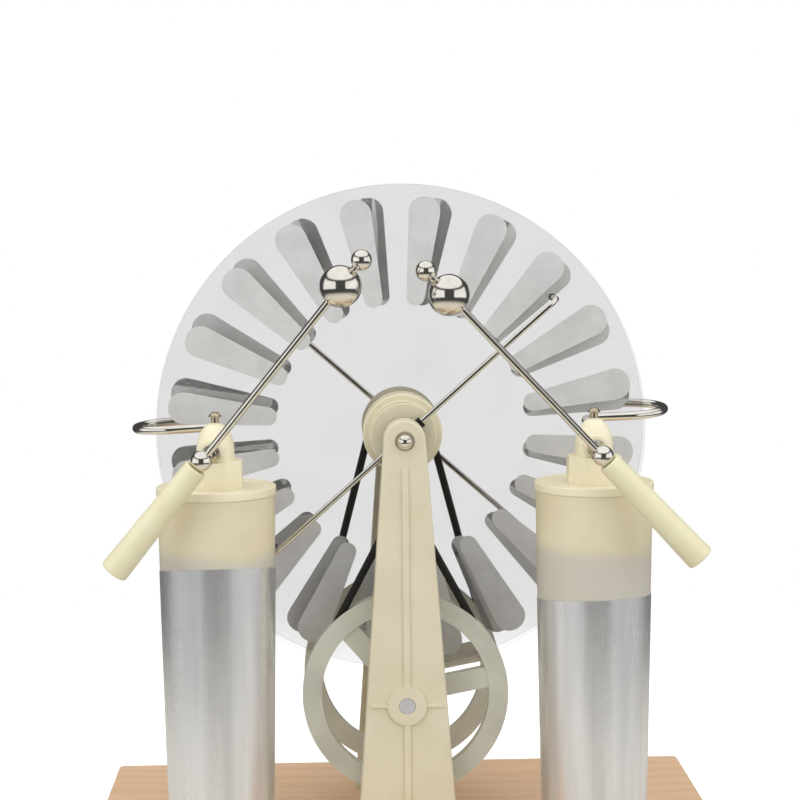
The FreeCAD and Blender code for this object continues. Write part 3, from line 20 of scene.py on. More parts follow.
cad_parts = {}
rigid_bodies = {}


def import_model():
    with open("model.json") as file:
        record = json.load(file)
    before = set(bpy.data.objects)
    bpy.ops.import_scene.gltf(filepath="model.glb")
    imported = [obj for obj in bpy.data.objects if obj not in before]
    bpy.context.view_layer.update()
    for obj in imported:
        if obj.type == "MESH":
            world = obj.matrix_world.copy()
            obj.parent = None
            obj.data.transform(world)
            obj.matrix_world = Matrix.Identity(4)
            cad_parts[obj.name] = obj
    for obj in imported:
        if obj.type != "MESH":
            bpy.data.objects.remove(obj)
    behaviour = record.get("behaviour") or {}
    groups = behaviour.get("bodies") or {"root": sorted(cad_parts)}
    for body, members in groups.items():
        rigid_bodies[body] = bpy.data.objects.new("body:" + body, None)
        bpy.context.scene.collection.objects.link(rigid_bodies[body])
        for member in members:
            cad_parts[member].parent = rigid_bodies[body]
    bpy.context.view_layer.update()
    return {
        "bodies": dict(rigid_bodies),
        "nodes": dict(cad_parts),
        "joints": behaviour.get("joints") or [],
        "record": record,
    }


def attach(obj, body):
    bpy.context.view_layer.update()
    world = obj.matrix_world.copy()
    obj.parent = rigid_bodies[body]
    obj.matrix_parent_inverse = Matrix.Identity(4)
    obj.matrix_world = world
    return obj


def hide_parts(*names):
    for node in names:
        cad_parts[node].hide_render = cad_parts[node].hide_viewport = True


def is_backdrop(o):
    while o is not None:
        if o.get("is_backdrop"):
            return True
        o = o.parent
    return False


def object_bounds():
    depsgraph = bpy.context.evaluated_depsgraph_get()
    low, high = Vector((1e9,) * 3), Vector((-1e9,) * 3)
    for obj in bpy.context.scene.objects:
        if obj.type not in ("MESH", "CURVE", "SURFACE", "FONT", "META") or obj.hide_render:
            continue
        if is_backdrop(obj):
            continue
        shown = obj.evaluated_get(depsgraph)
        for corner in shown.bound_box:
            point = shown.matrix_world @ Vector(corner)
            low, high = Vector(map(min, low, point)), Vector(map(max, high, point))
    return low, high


LOG = logging.getLogger("wimshurst")
MM = 0.001
FULL_TURN = 2 * math.pi

Colour = tuple[float, float, float]
Corner = tuple[float, ...]
"""A profile corner: two coordinates and, where it is rounded, the rounding."""


def linear(level: int) -> float:
    """Turn a screen value from 0 to 255 into linear light."""
    share = level / 255
    return share / 12.92 if share <= 0.04045 else ((share + 0.055) / 1.055) ** 2.4


def rgb(red: int, green: int, blue: int) -> Colour:
    """The linear colour of three screen values from 0 to 255."""
    return linear(red), linear(green), linear(blue)


class Way(Enum):
    """A choice between two directions; the value is the sign along its axis."""

    @property
    def word(self) -> str:
        """The word used in piece names."""
        return self.name.lower()


class End(Way):
    """The two ends of the disc axis, along Y."""

    FRONT = -1
    REAR = 1


class Side(Way):
    """The two sides of the machine, along X."""

    LEFT = -1
    RIGHT = 1


# ----------------------------------------------------------------------------------------
# Shader bench
# ----------------------------------------------------------------------------------------
class Wire:
    """A shader socket that takes part in plain arithmetic."""

    def __init__(self, bench: "Bench", socket: bpy.types.NodeSocket) -> None:
        """Keep the socket and the bench whose tree it belongs to."""
        self.bench = bench
        self.socket = socket

    def __add__(self, other: "Number") -> "Wire":
        """Sum."""
        return self.bench.maths("ADD", self, other)

    def __sub__(self, other: "Number") -> "Wire":
        """Difference."""
        return self.bench.maths("SUBTRACT", self, other)

    def __rsub__(self, other: "Number") -> "Wire":
        """Difference, the other way round."""
        return self.bench.maths("SUBTRACT", other, self)

    def __mul__(self, other: "Number") -> "Wire":
        """Product."""
        return self.bench.maths("MULTIPLY", self, other)

    def __pow__(self, other: "Number") -> "Wire":
        """Power."""
        return self.bench.maths("POWER", self, other)

    __radd__ = __add__
    __rmul__ = __mul__

    def size(self) -> "Wire":
        """The value without its sign."""
        return self.bench.maths("ABSOLUTE", self)

    def fade(self, start: float, end: float) -> "Wire":
        """A smooth rise from 0 at start to 1 at end; start may be the larger.

        Args:
            start: value at which the result is 0.
            end: value at which the result is 1.

        Returns:
            The rise as a wire.
        """
        made = self.bench.node(
            "ShaderNodeMapRange", {"interpolation_type": "SMOOTHSTEP"},
            {"Value": self, "From Min": start, "From Max": end})
        return Wire(self.bench, made.outputs["Result"])


Number = float | Wire


class Bench:
    """The node tree of one material or of the world."""

    def __init__(self, owner: bpy.types.Material | bpy.types.World) -> None:
        """Start with an empty tree.

        Args:
            owner: the material or the world that the tree belongs to.
        """
        self.owner = owner
        owner.use_nodes = True
        self.tree = owner.node_tree
        self.tree.nodes.clear()

    def node(self, kind: str, settings: Mapping[str, object] | None = None,
             sockets: Mapping[str | int, object] | None = None) -> bpy.types.Node:
        """Add one node.

        Args:
            kind: the node's type.
            settings: its properties, set first.
            sockets: values or wires for its inputs, by name or number.

        Returns:
            The node.
        """
        made = self.tree.nodes.new(kind)
        for key, value in (settings or {}).items():
            setattr(made, key, value)
        for key, value in (sockets or {}).items():
            if isinstance(value, Wire):
                self.tree.links.new(value.socket, made.inputs[key])
            else:
                made.inputs[key].default_value = value
        return made

    def maths(self, operation: str, *values: Number) -> Wire:
        """A Math node on wires and numbers."""
        made = self.node("ShaderNodeMath", {"operation": operation}, dict(enumerate(values)))
        return Wire(self, made.outputs[0])

    def place(self, stretch: Sequence[float] = (1, 1, 1), centre: Sequence[float] = (0, 0, 0),
              turn: Sequence[float] = (0, 0, 0)) -> Wire:
        """Object coordinates in millimetres, seen from a centre, turned and stretched.

        Args:
            stretch: factor along each axis, after the turn.
            centre: the point of the frame, in millimetres, that becomes the origin.
            turn: turn about each axis, in degrees.

        Returns:
            The coordinates as a wire.
        """
        coordinates = self.node("ShaderNodeTexCoord")
        shifted = self.node(
            "ShaderNodeVectorMath", {"operation": "SUBTRACT"},
            {0: Wire(self, coordinates.outputs["Object"]), 1: [part * MM for part in centre]})
        turned = self.node(
            "ShaderNodeMapping", {"vector_type": "POINT"},
            {"Vector": Wire(self, shifted.outputs[0]),
             "Rotation": [math.radians(angle) for angle in turn]})
        scaled = self.node(
            "ShaderNodeVectorMath", {"operation": "MULTIPLY"},
            {0: Wire(self, turned.outputs[0]), 1: [factor / MM for factor in stretch]})
        return Wire(self, scaled.outputs[0])

    def axes(self, vector: Wire) -> tuple[Wire, Wire, Wire]:
        """The three parts of a vector."""
        made = self.node("ShaderNodeSeparateXYZ", None, {0: vector})
        return tuple(Wire(self, out) for out in made.outputs)

    def length(self, first: Wire, second: Wire) -> Wire:
        """The length of a flat vector from its two parts."""
        return (first * first + second * second) ** 0.5

    def noise(self, vector: Wire, scale: float = 1.0, detail: float = 3.0,
              roughness: float = 0.5, twist: float = 0.0) -> Wire:
        """Cloudy values from 0 to 1.

        Args:
            vector: where the clouds are read.
            scale: clouds per unit of the vector.
            detail: layers of finer and finer clouds.
            roughness: strength of the finer layers.
            twist: how far the clouds are drawn out of shape.

        Returns:
            The values as a wire.
        """
        made = self.node(
            "ShaderNodeTexNoise", {"noise_dimensions": "3D"},
            {"Vector": vector, "Scale": scale, "Detail": detail, "Roughness": roughness,
             "Distortion": twist})
        return Wire(self, made.outputs["Fac"])

    def blend(self, share: Number, first: Wire | Colour, second: Wire | Colour) -> Wire:
        """A mix of two colours.

        Args:
            share: share of the second colour.
            first: the colour at 0.
            second: the colour at 1.

        Returns:
            The mixed colour as a wire.
        """
        sockets = {0: share}
        for index, colour in ((6, first), (7, second)):
            sockets[index] = colour if isinstance(colour, Wire) else (*colour, 1.0)
        made = self.node("ShaderNodeMix", {"data_type": "RGBA", "clamp_factor": True}, sockets)
        return Wire(self, made.outputs[2])

    def relief(self, height: Wire, depth: float, under: Wire | None = None) -> Wire:
        """A bumped normal.

        Args:
            height: the relief, from 0 to 1.
            depth: its real height in millimetres.
            under: a normal that is already bumped, if there is one.

        Returns:
            The normal as a wire.
        """
        sockets = {"Height": height, "Strength": 1.0, "Distance": depth * MM}
        if under is not None:
            sockets["Normal"] = under
        return Wire(self, self.node("ShaderNodeBump", None, sockets).outputs[0])

    def shader(self, sockets: Mapping[str, object]) -> bpy.types.Node:
        """A Principled shader.

        Args:
            sockets: values or wires for its inputs; a colour may be three numbers.

        Returns:
            The shader's node.
        """
        filled = {}
        for key, value in sockets.items():
            flat = isinstance(value, tuple) and len(value) == 3 and "Color" in key
            filled[key] = (*value, 1.0) if flat else value
        return self.node("ShaderNodeBsdfPrincipled", None, filled)

    def done(self, shader: Wire, output: str = "Material") -> bpy.types.Material:
        """Send a shader to the output and hand over the tree's owner."""
        self.node(f"ShaderNodeOutput{output}", None, {"Surface": shader})
        return self.owner

    def finished(self, sockets: Mapping[str, object]) -> bpy.types.Material:
        """Make the Principled shader, join it to the output and hand over the material."""
        return self.done(Wire(self, self.shader(sockets).outputs[0]))


# ----------------------------------------------------------------------------------------
# Finishes
# ----------------------------------------------------------------------------------------
@dataclass(frozen=True)
class Finish:
    """A surface finish; the slot is the record's material slot."""

    name: str
    slot: str

    def build(self, bench: Bench) -> bpy.types.Material:
        """Make the node tree; each kind of finish has its own."""
        raise NotImplementedError

    @cache
    def material(self) -> bpy.types.Material:
        """The material, made once and then shared."""
        return self.build(Bench(bpy.data.materials.new(self.name)))


@dataclass(frozen=True)
class Beech(Finish):
    """Steamed beech under clear varnish, its grain along X and its rings seen on the ends."""

    pale: Colour = rgb(226, 192, 158)
    dark: Colour = rgb(216, 179, 142)
    fleck: Colour = rgb(196, 150, 108)
    heart: tuple[float, float] = (-40.0, -190.0)
    ring_rate: float = 0.9
    ring_share: float = 0.55
    wander: float = 26.0
    pore_share: float = 0.22
    pore_range: tuple[float, float] = (0.56, 0.68)
    fleck_share: float = 0.4
    fleck_range: tuple[float, float] = (0.66, 0.72)

    def build(self, bench: Bench) -> bpy.types.Material:
        """Growth rings round a far axis, long pores and the short flecks of beech.

        Args:
            bench: the material's empty tree.

        Returns:
            The material.
        """
        _, across, up = bench.axes(bench.place())
        back, below = self.heart
        wander = bench.noise(bench.place((0.004, 0.02, 0.02)), detail=2.0)
        depth = bench.length(across - back, up - below) + wander * self.wander
        rings = bench.maths("SINE", depth * self.ring_rate)
        figure = bench.noise(bench.place((0.012, 0.5, 0.5)), detail=4.0)
        bands = (rings * 0.5 + 0.5) * self.ring_share + figure * 0.5
        pores = bench.noise(bench.place((0.07, 3.2, 3.2)), detail=2.0).fade(*self.pore_range)
        flecks = bench.noise(bench.place((0.45, 2.1, 2.1)), detail=1.0).fade(*self.fleck_range)
        colour = bench.blend(bands, self.pale, self.dark)
        colour = bench.blend(pores * self.pore_share, colour, self.fleck)
        colour = bench.blend(flecks * self.fleck_share, colour, self.fleck)
        return bench.finished({
            "Base Color": colour,
            "Roughness": bands * 0.08 + 0.5,
            "Coat Weight": 0.05, "Coat Roughness": 0.3, "Specular IOR Level": 0.25,
            "Normal": bench.relief(1.0 - (pores * 0.6 + flecks * 0.4), 0.05)})


@dataclass(frozen=True)
class MouldedPlastic(Finish):
    """Moulded plastic: faint flow marks in the colour and a fine satin skin."""

    pale: Colour = rgb(222, 214, 188)
    deep: Colour = rgb(216, 207, 179)
    roughness: float = 0.42
    grain: float = 0.02
    clouds: float = 0.035
    glow: float = 0.12
    scuffing: float = 0.14

    def tone(self, bench: Bench) -> Wire:
        """Soft clouds for the flow of the melt.

        Args:
            bench: the material's tree.

        Returns:
            The colour as a wire.
        """
        clouds = bench.noise(bench.place(), self.clouds, 3.0, 0.55)
        return bench.blend(clouds.fade(0.3, 0.7), self.pale, self.deep)

    def build(self, bench: Bench) -> bpy.types.Material:
        """The melt's tone, a fine relief for the mould's skin and light scuffs.

        Args:
            bench: the material's empty tree.

        Returns:
            The material.
        """
        skin = bench.noise(bench.place(), 1.6, 2.0, 0.6)
        scuff = bench.noise(bench.place((1, 1, 0.25)), 0.35, 4.0, 0.6)
        return bench.finished({
            "Base Color": self.tone(bench),
            "Roughness": scuff * self.scuffing + (self.roughness - self.scuffing / 2),
            "Subsurface Weight": self.glow, "Subsurface Scale": 0.004,
            "Subsurface Radius": (1.0, 0.85, 0.6),
            "Normal": bench.relief(skin, self.grain)})


@dataclass(frozen=True)
class JarPlastic(MouldedPlastic):
    """Translucent jar plastic, greyer where the foil lining shows through the wall."""

    lined: Colour = rgb(200, 195, 180)
    lining_top: float = 194.3
    ragged: float = 4.0
    softness: float = 5.5

    def tone(self, bench: Bench) -> Wire:
        """The clear tone above the lining and the dimmed one below it.

        Args:
            bench: the material's tree.

        Returns:
            The colour as a wire.
        """
        _, _, up = bench.axes(bench.place())
        edge = bench.noise(bench.place(), 0.03, 2.0) * (self.ragged * 2) - self.ragged
        middle = self.lining_top - 0.5
        below = (up + edge).fade(middle + self.softness, middle - self.softness)
        return bench.blend(below, super().tone(bench), self.lined)


@dataclass(frozen=True)
class Polished(Finish):
    """Plated or turned metal with hair scratches and slight smears."""

    colour: Colour = rgb(238, 234, 226)
    roughness: float = 0.08
    scratch: float = 0.004
    smear: float = 0.08
    metallic: float = 1.0
    dimmed: float = 0.9

    def build(self, bench: Bench) -> bpy.types.Material:
        """Smears vary the gloss and two sets of scratches break the reflections.

        Args:
            bench: the material's empty tree.

        Returns:
            The material.
        """
        smears = bench.noise(bench.place(), 0.22, 3.0, 0.6)
        hairs = bench.noise(bench.place((0.4, 6, 6)), detail=2.0)
        cross = bench.noise(bench.place((5, 5, 0.5), turn=(0, 35, 20)), detail=2.0)
        tone = bench.blend(smears.fade(0.35, 0.75), self.colour,
                           tuple(part * self.dimmed for part in self.colour))
        return bench.finished({
            "Base Color": tone, "Metallic": self.metallic,
            "Roughness": smears * self.smear + self.roughness,
            "Normal": bench.relief(hairs + cross, self.scratch)})


@dataclass(frozen=True)
class JarFoil(Finish):
    """Smooth aluminium foil wrapped round a jar, its rolling lines running round it."""

    colour: Colour = rgb(236, 237, 240)
    worn: Colour = rgb(218, 219, 222)
    roughness: float = 0.23
    dent: float = 0.3
    line: float = 0.04

    def build(self, bench: Bench) -> bpy.types.Material:
        """Upright streaks from smoothing by hand, rolling lines and a few soft dents.

        Args:
            bench: the material's empty tree.

        Returns:
            The material.
        """
        streaks = bench.noise(bench.place((0.12, 0.12, 0.006)))
        lines = bench.noise(bench.place((0.04, 0.04, 3.0)), detail=2.0)
        dents = bench.noise(bench.place((0.05, 0.05, 0.03)), detail=2.0)
        tone = bench.blend(streaks.fade(0.3, 0.75), self.colour, self.worn)
        return bench.finished({
            "Base Color": tone, "Metallic": 0.8,
            "Roughness": streaks * 0.1 + self.roughness,
            "Normal": bench.relief(lines, self.line, bench.relief(dents, self.dent))})


@dataclass(frozen=True)
class SectorFoil(Finish):
    """Dull aluminium tape pressed on a disc, lightly wrinkled."""

    colour: Colour = rgb(208, 208, 207)
    worn: Colour = rgb(198, 198, 197)
    wrinkle: float = 0.06

    def build(self, bench: Bench) -> bpy.types.Material:
        """Small wrinkles left by the finger that pressed the tape down.

        Args:
            bench: the material's empty tree.

        Returns:
            The material.
        """
        patches = bench.noise(bench.place(), 0.08, 3.0)
        wrinkles = bench.noise(bench.place(turn=(0, 25, 0)), 0.3, 3.0, 0.55, 0.6)
        tone = bench.blend(patches.fade(0.3, 0.7), self.colour, self.worn)
        return bench.finished({
            "Base Color": tone, "Metallic": 0.1,
            "Roughness": patches * 0.1 + 0.5,
            "Normal": bench.relief(wrinkles, self.wrinkle)})


@dataclass(frozen=True)
class ClearSheet(Finish):
    """Clear acrylic sheet whose sawn and polished rim looks denser than its faces."""

    tint: Colour = rgb(58, 56, 50)
    edge: Colour = rgb(150, 154, 150)
    veil: float = 0.072
    rim_veil: float = 0.06
    smear_veil: float = 0.012
    rim_radius: float = 140.0
    centre_height: float = 251.5

    def build(self, bench: Bench) -> bpy.types.Material:
        """A faint grey tint on the faces, slight smears and a denser rim.

        Args:
            bench: the material's empty tree.

        Returns:
            The material.
        """
        along, _, up = bench.axes(bench.place(centre=(0, 0, self.centre_height)))
        rim = bench.length(along, up).fade(self.rim_radius - 0.7, self.rim_radius - 0.1)
        smears = bench.noise(bench.place(), 0.03, 4.0, 0.6)
        return bench.finished({
            "Base Color": bench.blend(rim, self.tint, self.edge),
            "Roughness": smears * 0.08 + 0.03,
            "IOR": 1.49,
            "Alpha": rim * self.rim_veil + smears.fade(0.4, 0.8) * self.smear_veil + self.veil})


@dataclass(frozen=True)
class Rubber(Finish):
    """Black rubber with a dusty bloom."""

    colour: Colour = rgb(20, 18, 16)
    bloom: Colour = rgb(36, 33, 29)
    pebble: float = 0.04

    def build(self, bench: Bench) -> bpy.types.Material:
        """A patchy bloom over a fine pebbled skin.

        Args:
            bench: the material's empty tree.

        Returns:
            The material.
        """
        bloom = bench.noise(bench.place(), 0.25, 4.0, 0.6)
        pebbles = bench.noise(bench.place(), 2.5, 2.0)
        return bench.finished({
            "Base Color": bench.blend(bloom.fade(0.45, 0.85), self.colour, self.bloom),
            "Roughness": bloom * 0.2 + 0.5,
            "Normal": bench.relief(pebbles, self.pebble)})


BEECH = Beech("varnished_beech", "beech")
CREAM = MouldedPlastic("moulded_cream_plastic", "cream_plastic")
PALE_CREAM = MouldedPlastic("pale_moulded_plastic", "cream_plastic", rgb(237, 229, 201),
                            rgb(231, 222, 192))
NYLON = MouldedPlastic("white_nylon", "nylon", rgb(220, 220, 205), rgb(205, 204, 190), 0.36,
                       0.015)
HANDLE = MouldedPlastic("turned_handle_plastic", "handle_plastic", rgb(229, 224, 190),
                        rgb(224, 217, 181), 0.4, 0.012, 0.05, 0.1)
JAR = JarPlastic("clouded_jar_plastic", "jar_plastic", rgb(226, 215, 185), rgb(220, 208, 176),
                 0.36, 0.012, 0.03, 0.1)
NICKEL = Polished("nickel_plate", "nickel")
STEEL = Polished("turned_steel", "steel", rgb(222, 224, 229), 0.35, 0.01, 0.12, 0.6)
ZINC = Polished("zinc_plate", "zinc", rgb(176, 178, 180), 0.3, 0.012, 0.15)
TINSEL = Polished("dark_tinsel", "tinsel", rgb(96, 90, 82), 0.4, 0.02, 0.2)
AGED = Polished("aged_plate", "nickel", rgb(200, 186, 160), 0.14, 0.006, 0.1)
DARK_METAL = Polished("blackened_metal", "dark_metal", rgb(58, 57, 56), 0.32, 0.01, 0.15)
JAR_FOIL = JarFoil("jar_foil", "foil")
SECTOR_FOIL = SectorFoil("sector_foil", "foil")
# Painted light: a lighter copy of the sector foil for the rear disc. Its colour is raised to make
# up for the shade those foils sit in behind the two discs and the front foils.
REAR_FOIL_PAINTED_LIGHTER = SectorFoil("backed_sector_foil", "foil", rgb(244, 244, 242), rgb(238, 238, 236))
CLEAR = ClearSheet("clear_acrylic", "acrylic")
BELT = Rubber("dusty_belt_rubber", "belt_rubber")
FEET = Rubber("dusty_foot_rubber", "foot_rubber")
BLACK = MouldedPlastic("moulded_black_plastic", "black_plastic", rgb(34, 33, 32),
                       rgb(24, 23, 22), 0.3, 0.012, 0.05, 0.0)


# ----------------------------------------------------------------------------------------
# Mesh shaping
# ----------------------------------------------------------------------------------------
class Form:
    """A mesh in the making, in millimetres, shaped with bmesh operators."""

    def __init__(self) -> None:
        """Start with nothing."""
        self.mesh = bmesh.new()

    @classmethod
    def wire(cls, corners: Sequence[Corner], closed: bool, rounding: int = 4) -> "Form":
        """A flat wire in the XZ plane with its marked corners rounded.

        Args:
            corners: x, z and, where a corner is rounded, the tangent length.
            closed: whether the last corner joins the first.
            rounding: segments of a rounded corner.

        Returns:
            The wire as a form of vertices and edges.
        """
        form = cls()
        points = [form.mesh.verts.new((corner[0], 0, corner[1])) for corner in corners]
        pairs = list(zip(points, points[1:])) + ([(points[-1], points[0])] if closed else [])
        for first, second in pairs:
            form.mesh.edges.new((first, second))
        wanted: dict[float, list[bmesh.types.BMVert]] = {}
        for point, corner in zip(points, corners):
            if len(corner) > 2:
                wanted.setdefault(corner[2], []).append(point)
        for reach, group in wanted.items():
            bmesh.ops.bevel(form.mesh, geom=group, offset=reach, affect="VERTICES",
                            segments=rounding, profile=0.5, material=-1, clamp_overlap=False)
        return form

    @classmethod
    def turned(cls, corners: Sequence[Corner], steps: int = 96, closed: bool = True,
               rounding: int = 4) -> "Form":
        """A lathe shape about Z from a profile of radius and height.

        Args:
            corners: radius, height and, where a corner is rounded, the tangent length.
            steps: facets round the axis.
            closed: whether the profile is a closed loop, off the axis.
            rounding: segments of a rounded corner.

        Returns:
            The closed shape.
        """
        form = cls.wire(corners, closed, rounding)
        bmesh.ops.spin(form.mesh, geom=form.mesh.verts[:] + form.mesh.edges[:], cent=(0, 0, 0),
                       axis=(0, 0, 1), angle=FULL_TURN, steps=steps, use_merge=True,
                       use_duplicate=False)
        return form.cleaned()

    @classmethod
    def plate(cls, corners: Sequence[Corner], thickness: float, rounding: int = 8) -> "Form":
        """A flat plate in the XZ plane, thickened towards +Y.

        Args:
            corners: x, z and, where a corner is rounded, the tangent length.
            thickness: reach along Y.
            rounding: segments of a rounded corner.

        Returns:
            The closed plate.
        """
        form = cls.wire(corners, True, rounding)
        made = bmesh.ops.contextual_create(form.mesh, geom=form.mesh.edges[:])
        grown = bmesh.ops.extrude_face_region(form.mesh, geom=made["faces"])
        tops = [g for g in grown["geom"] if isinstance(g, bmesh.types.BMVert)]
        bmesh.ops.translate(form.mesh, verts=tops, vec=(0, thickness, 0))
        return form.cleaned()

    @classmethod
    def ball(cls, radius: float, height: float, fineness: int = 40) -> "Form":
        """A sphere with its poles along Z.

        Args:
            radius: its radius.
            height: height of its middle on the Z axis.
            fineness: rings of facets from pole to pole.

        Returns:
            The sphere.
        """
        form = cls()
        bmesh.ops.create_uvsphere(form.mesh, u_segments=fineness * 2, v_segments=fineness,
                                  radius=radius, matrix=Matrix.Translation((0, 0, height)))
        return form

    @classmethod
    def copied(cls, node: bpy.types.Object, flat: float = 0.5) -> "Form":
        """The merged copy of a construction node, its flat faces made whole.

        Args:
            node: the node, whose place is in its mesh.
            flat: angle in degrees up to which neighbouring faces count as one.

        Returns:
            The copy, in millimetres.
        """
        form = cls()
        form.mesh.from_mesh(node.data)
        bmesh.ops.scale(form.mesh, vec=(1 / MM,) * 3, verts=form.mesh.verts[:])
        bmesh.ops.remove_doubles(form.mesh, verts=form.mesh.verts[:], dist=0.002)
        bmesh.ops.dissolve_limit(form.mesh, angle_limit=math.radians(flat),
                                 verts=form.mesh.verts[:], edges=form.mesh.edges[:])
        return form

    def cleaned(self, near: float = 1e-3) -> "Form":
        """Merge doubles, then make every face point outwards.

        Args:
            near: distance up to which vertices are doubles.

        Returns:
            The same form.
        """
        bmesh.ops.remove_doubles(self.mesh, verts=self.mesh.verts[:], dist=near)
        bmesh.ops.recalc_face_normals(self.mesh, faces=self.mesh.faces[:])
        return self

    def take(self, other: "Form") -> "Form":
        """Take another form into this one.

        Args:
            other: the form, which is used up.

        Returns:
            The same form.
        """
        carrier = bpy.data.meshes.new("carrier")
        other.mesh.to_mesh(carrier)
        self.mesh.from_mesh(carrier)
        bpy.data.meshes.remove(carrier)
        other.mesh.free()
        return self

    def soften(self, width: float, segments: int = 2, sharper: float = 30.0,
               where: Callable[[bmesh.types.BMEdge], bool] | None = None) -> "Form":
        """Round the sharp edges.

        Args:
            width: reach of the rounding on each side.
            segments: facets of the rounding.
            sharper: angle in degrees above which an edge is sharp.
            where: further test an edge has to pass.

        Returns:
            The same form.
        """
        limit = math.radians(sharper)
        edges = [edge for edge in self.mesh.edges
                 if edge.is_manifold and edge.calc_face_angle(0.0) > limit
                 and (where is None or where(edge))]
        if edges:
            bmesh.ops.bevel(self.mesh, geom=edges, offset=width, affect="EDGES",
                            segments=segments, profile=0.5, material=-1, clamp_overlap=True)
        return self

    def turn(self, degrees: float, axis: str = "Y") -> "Form":
        """Turn about an axis through the origin.

        Args:
            degrees: how far.
            axis: the axis's letter.

        Returns:
            The same form.
        """
        bmesh.ops.transform(self.mesh, matrix=Matrix.Rotation(math.radians(degrees), 4, axis),
                            verts=self.mesh.verts[:])
        return self

    def shift(self, x: float = 0, y: float = 0, z: float = 0) -> "Form":
        """Move."""
        bmesh.ops.translate(self.mesh, verts=self.mesh.verts[:], vec=(x, y, z))
        return self

    def onto_y(self, sign: int = 1) -> "Form":
        """Lay a shape that runs up Z along Y, towards the given sign."""
        return self.turn(-90 * sign, "X")

    def ring(self, count: int, axis: Sequence[float] = (0, 1, 0)) -> "Form":
        """Repeat the whole form evenly about an axis through the origin.

        Args:
            count: how many there are in the end.
            axis: the axis.

        Returns:
            The same form.
        """
        everything = self.mesh.verts[:] + self.mesh.edges[:] + self.mesh.faces[:]
        bmesh.ops.spin(self.mesh, geom=everything, cent=(0, 0, 0), axis=axis,
                       angle=FULL_TURN * (count - 1) / count, steps=count - 1,
                       use_duplicate=True, use_merge=False)
        return self

    def trim(self, point: Sequence[float], normal: Sequence[float]) -> "Form":
        """Cut away a hollow shape beyond a plane and join the two rims of the cut.

        Args:
            point: a point of the plane.
            normal: the direction in which the shape is cut away.

        Returns:
            The same form.
        """
        cut = bmesh.ops.bisect_plane(
            self.mesh, geom=self.mesh.verts[:] + self.mesh.edges[:] + self.mesh.faces[:],
            plane_co=point, plane_no=normal, clear_outer=True)
        rim = [g for g in cut["geom_cut"] if isinstance(g, bmesh.types.BMEdge)]
        bmesh.ops.bridge_loops(self.mesh, edges=rim)
        return self.cleaned()


class Bar(Form):
    """A round bar bent as a maker bends it: straight runs and bends of one radius."""

    def __init__(self, radius: float, start: Sequence[float], heading: Sequence[float],
                 facets: int = 24) -> None:
        """Set the first ring.

        Args:
            radius: the bar's radius.
            start: middle of its first end.
            heading: direction in which it sets off.
            facets: facets round the bar.
        """
        super().__init__()
        self.here = Vector(start)
        self.heading = Vector(heading).normalized()
        turn = self.heading.to_track_quat("Z", "Y").to_matrix().to_4x4()
        bmesh.ops.create_circle(self.mesh, cap_ends=False, radius=radius, segments=facets,
                                matrix=Matrix.Translation(self.here) @ turn)
        self.last = self.mesh.edges[:]

    def run(self, length: float, drift: Sequence[float] = (0, 0, 0)) -> "Bar":
        """Go straight on.

        Args:
            length: length of the run.
            drift: a small step aside by its end.

        Returns:
            The same bar.
        """
        step = self.heading * length + Vector(drift)
        grown = bmesh.ops.extrude_edge_only(self.mesh, edges=self.last)["geom"]
        points = {g for g in grown if isinstance(g, bmesh.types.BMVert)}
        bmesh.ops.translate(self.mesh, verts=list(points), vec=step)
        self.last = [g for g in grown if isinstance(g, bmesh.types.BMEdge)
                     and g.verts[0] in points and g.verts[1] in points]
        self.here += step
        return self

    def bend(self, centre: Sequence[float], axis: Sequence[float], degrees: float,
             steps: int = 10) -> "Bar":
        """Turn about an axis through a centre.

        Args:
            centre: the centre of the bend.
            axis: its axis.
            degrees: how far it turns.
            steps: facets along the bend.

        Returns:
            The same bar.
        """
        angle = math.radians(degrees)
        ring = self.last + list({vert for edge in self.last for vert in edge.verts})
        made = bmesh.ops.spin(self.mesh, geom=ring, cent=centre, axis=axis, angle=angle,
                              steps=steps, use_duplicate=False, use_merge=False)
        self.last = [g for g in made["geom_last"] if isinstance(g, bmesh.types.BMEdge)]
        turn = Matrix.Rotation(angle, 4, Vector(axis))
        self.here = Vector(centre) + (turn @ (self.here - Vector(centre)))
        self.heading = (turn.to_3x3() @ self.heading).normalized()
        return self

    def capped(self, rounding: float = 0.0) -> "Bar":
        """Close both ends and round them a little.

        Args:
            rounding: reach of the rounding, 0 for none.

        Returns:
            The same bar.
        """
        open_edges = [edge for edge in self.mesh.edges if edge.is_boundary]
        bmesh.ops.holes_fill(self.mesh, edges=open_edges, sides=0)
        bmesh.ops.recalc_face_normals(self.mesh, faces=self.mesh.faces[:])
        if rounding:
            self.soften(rounding, 3, 60.0)
        return self


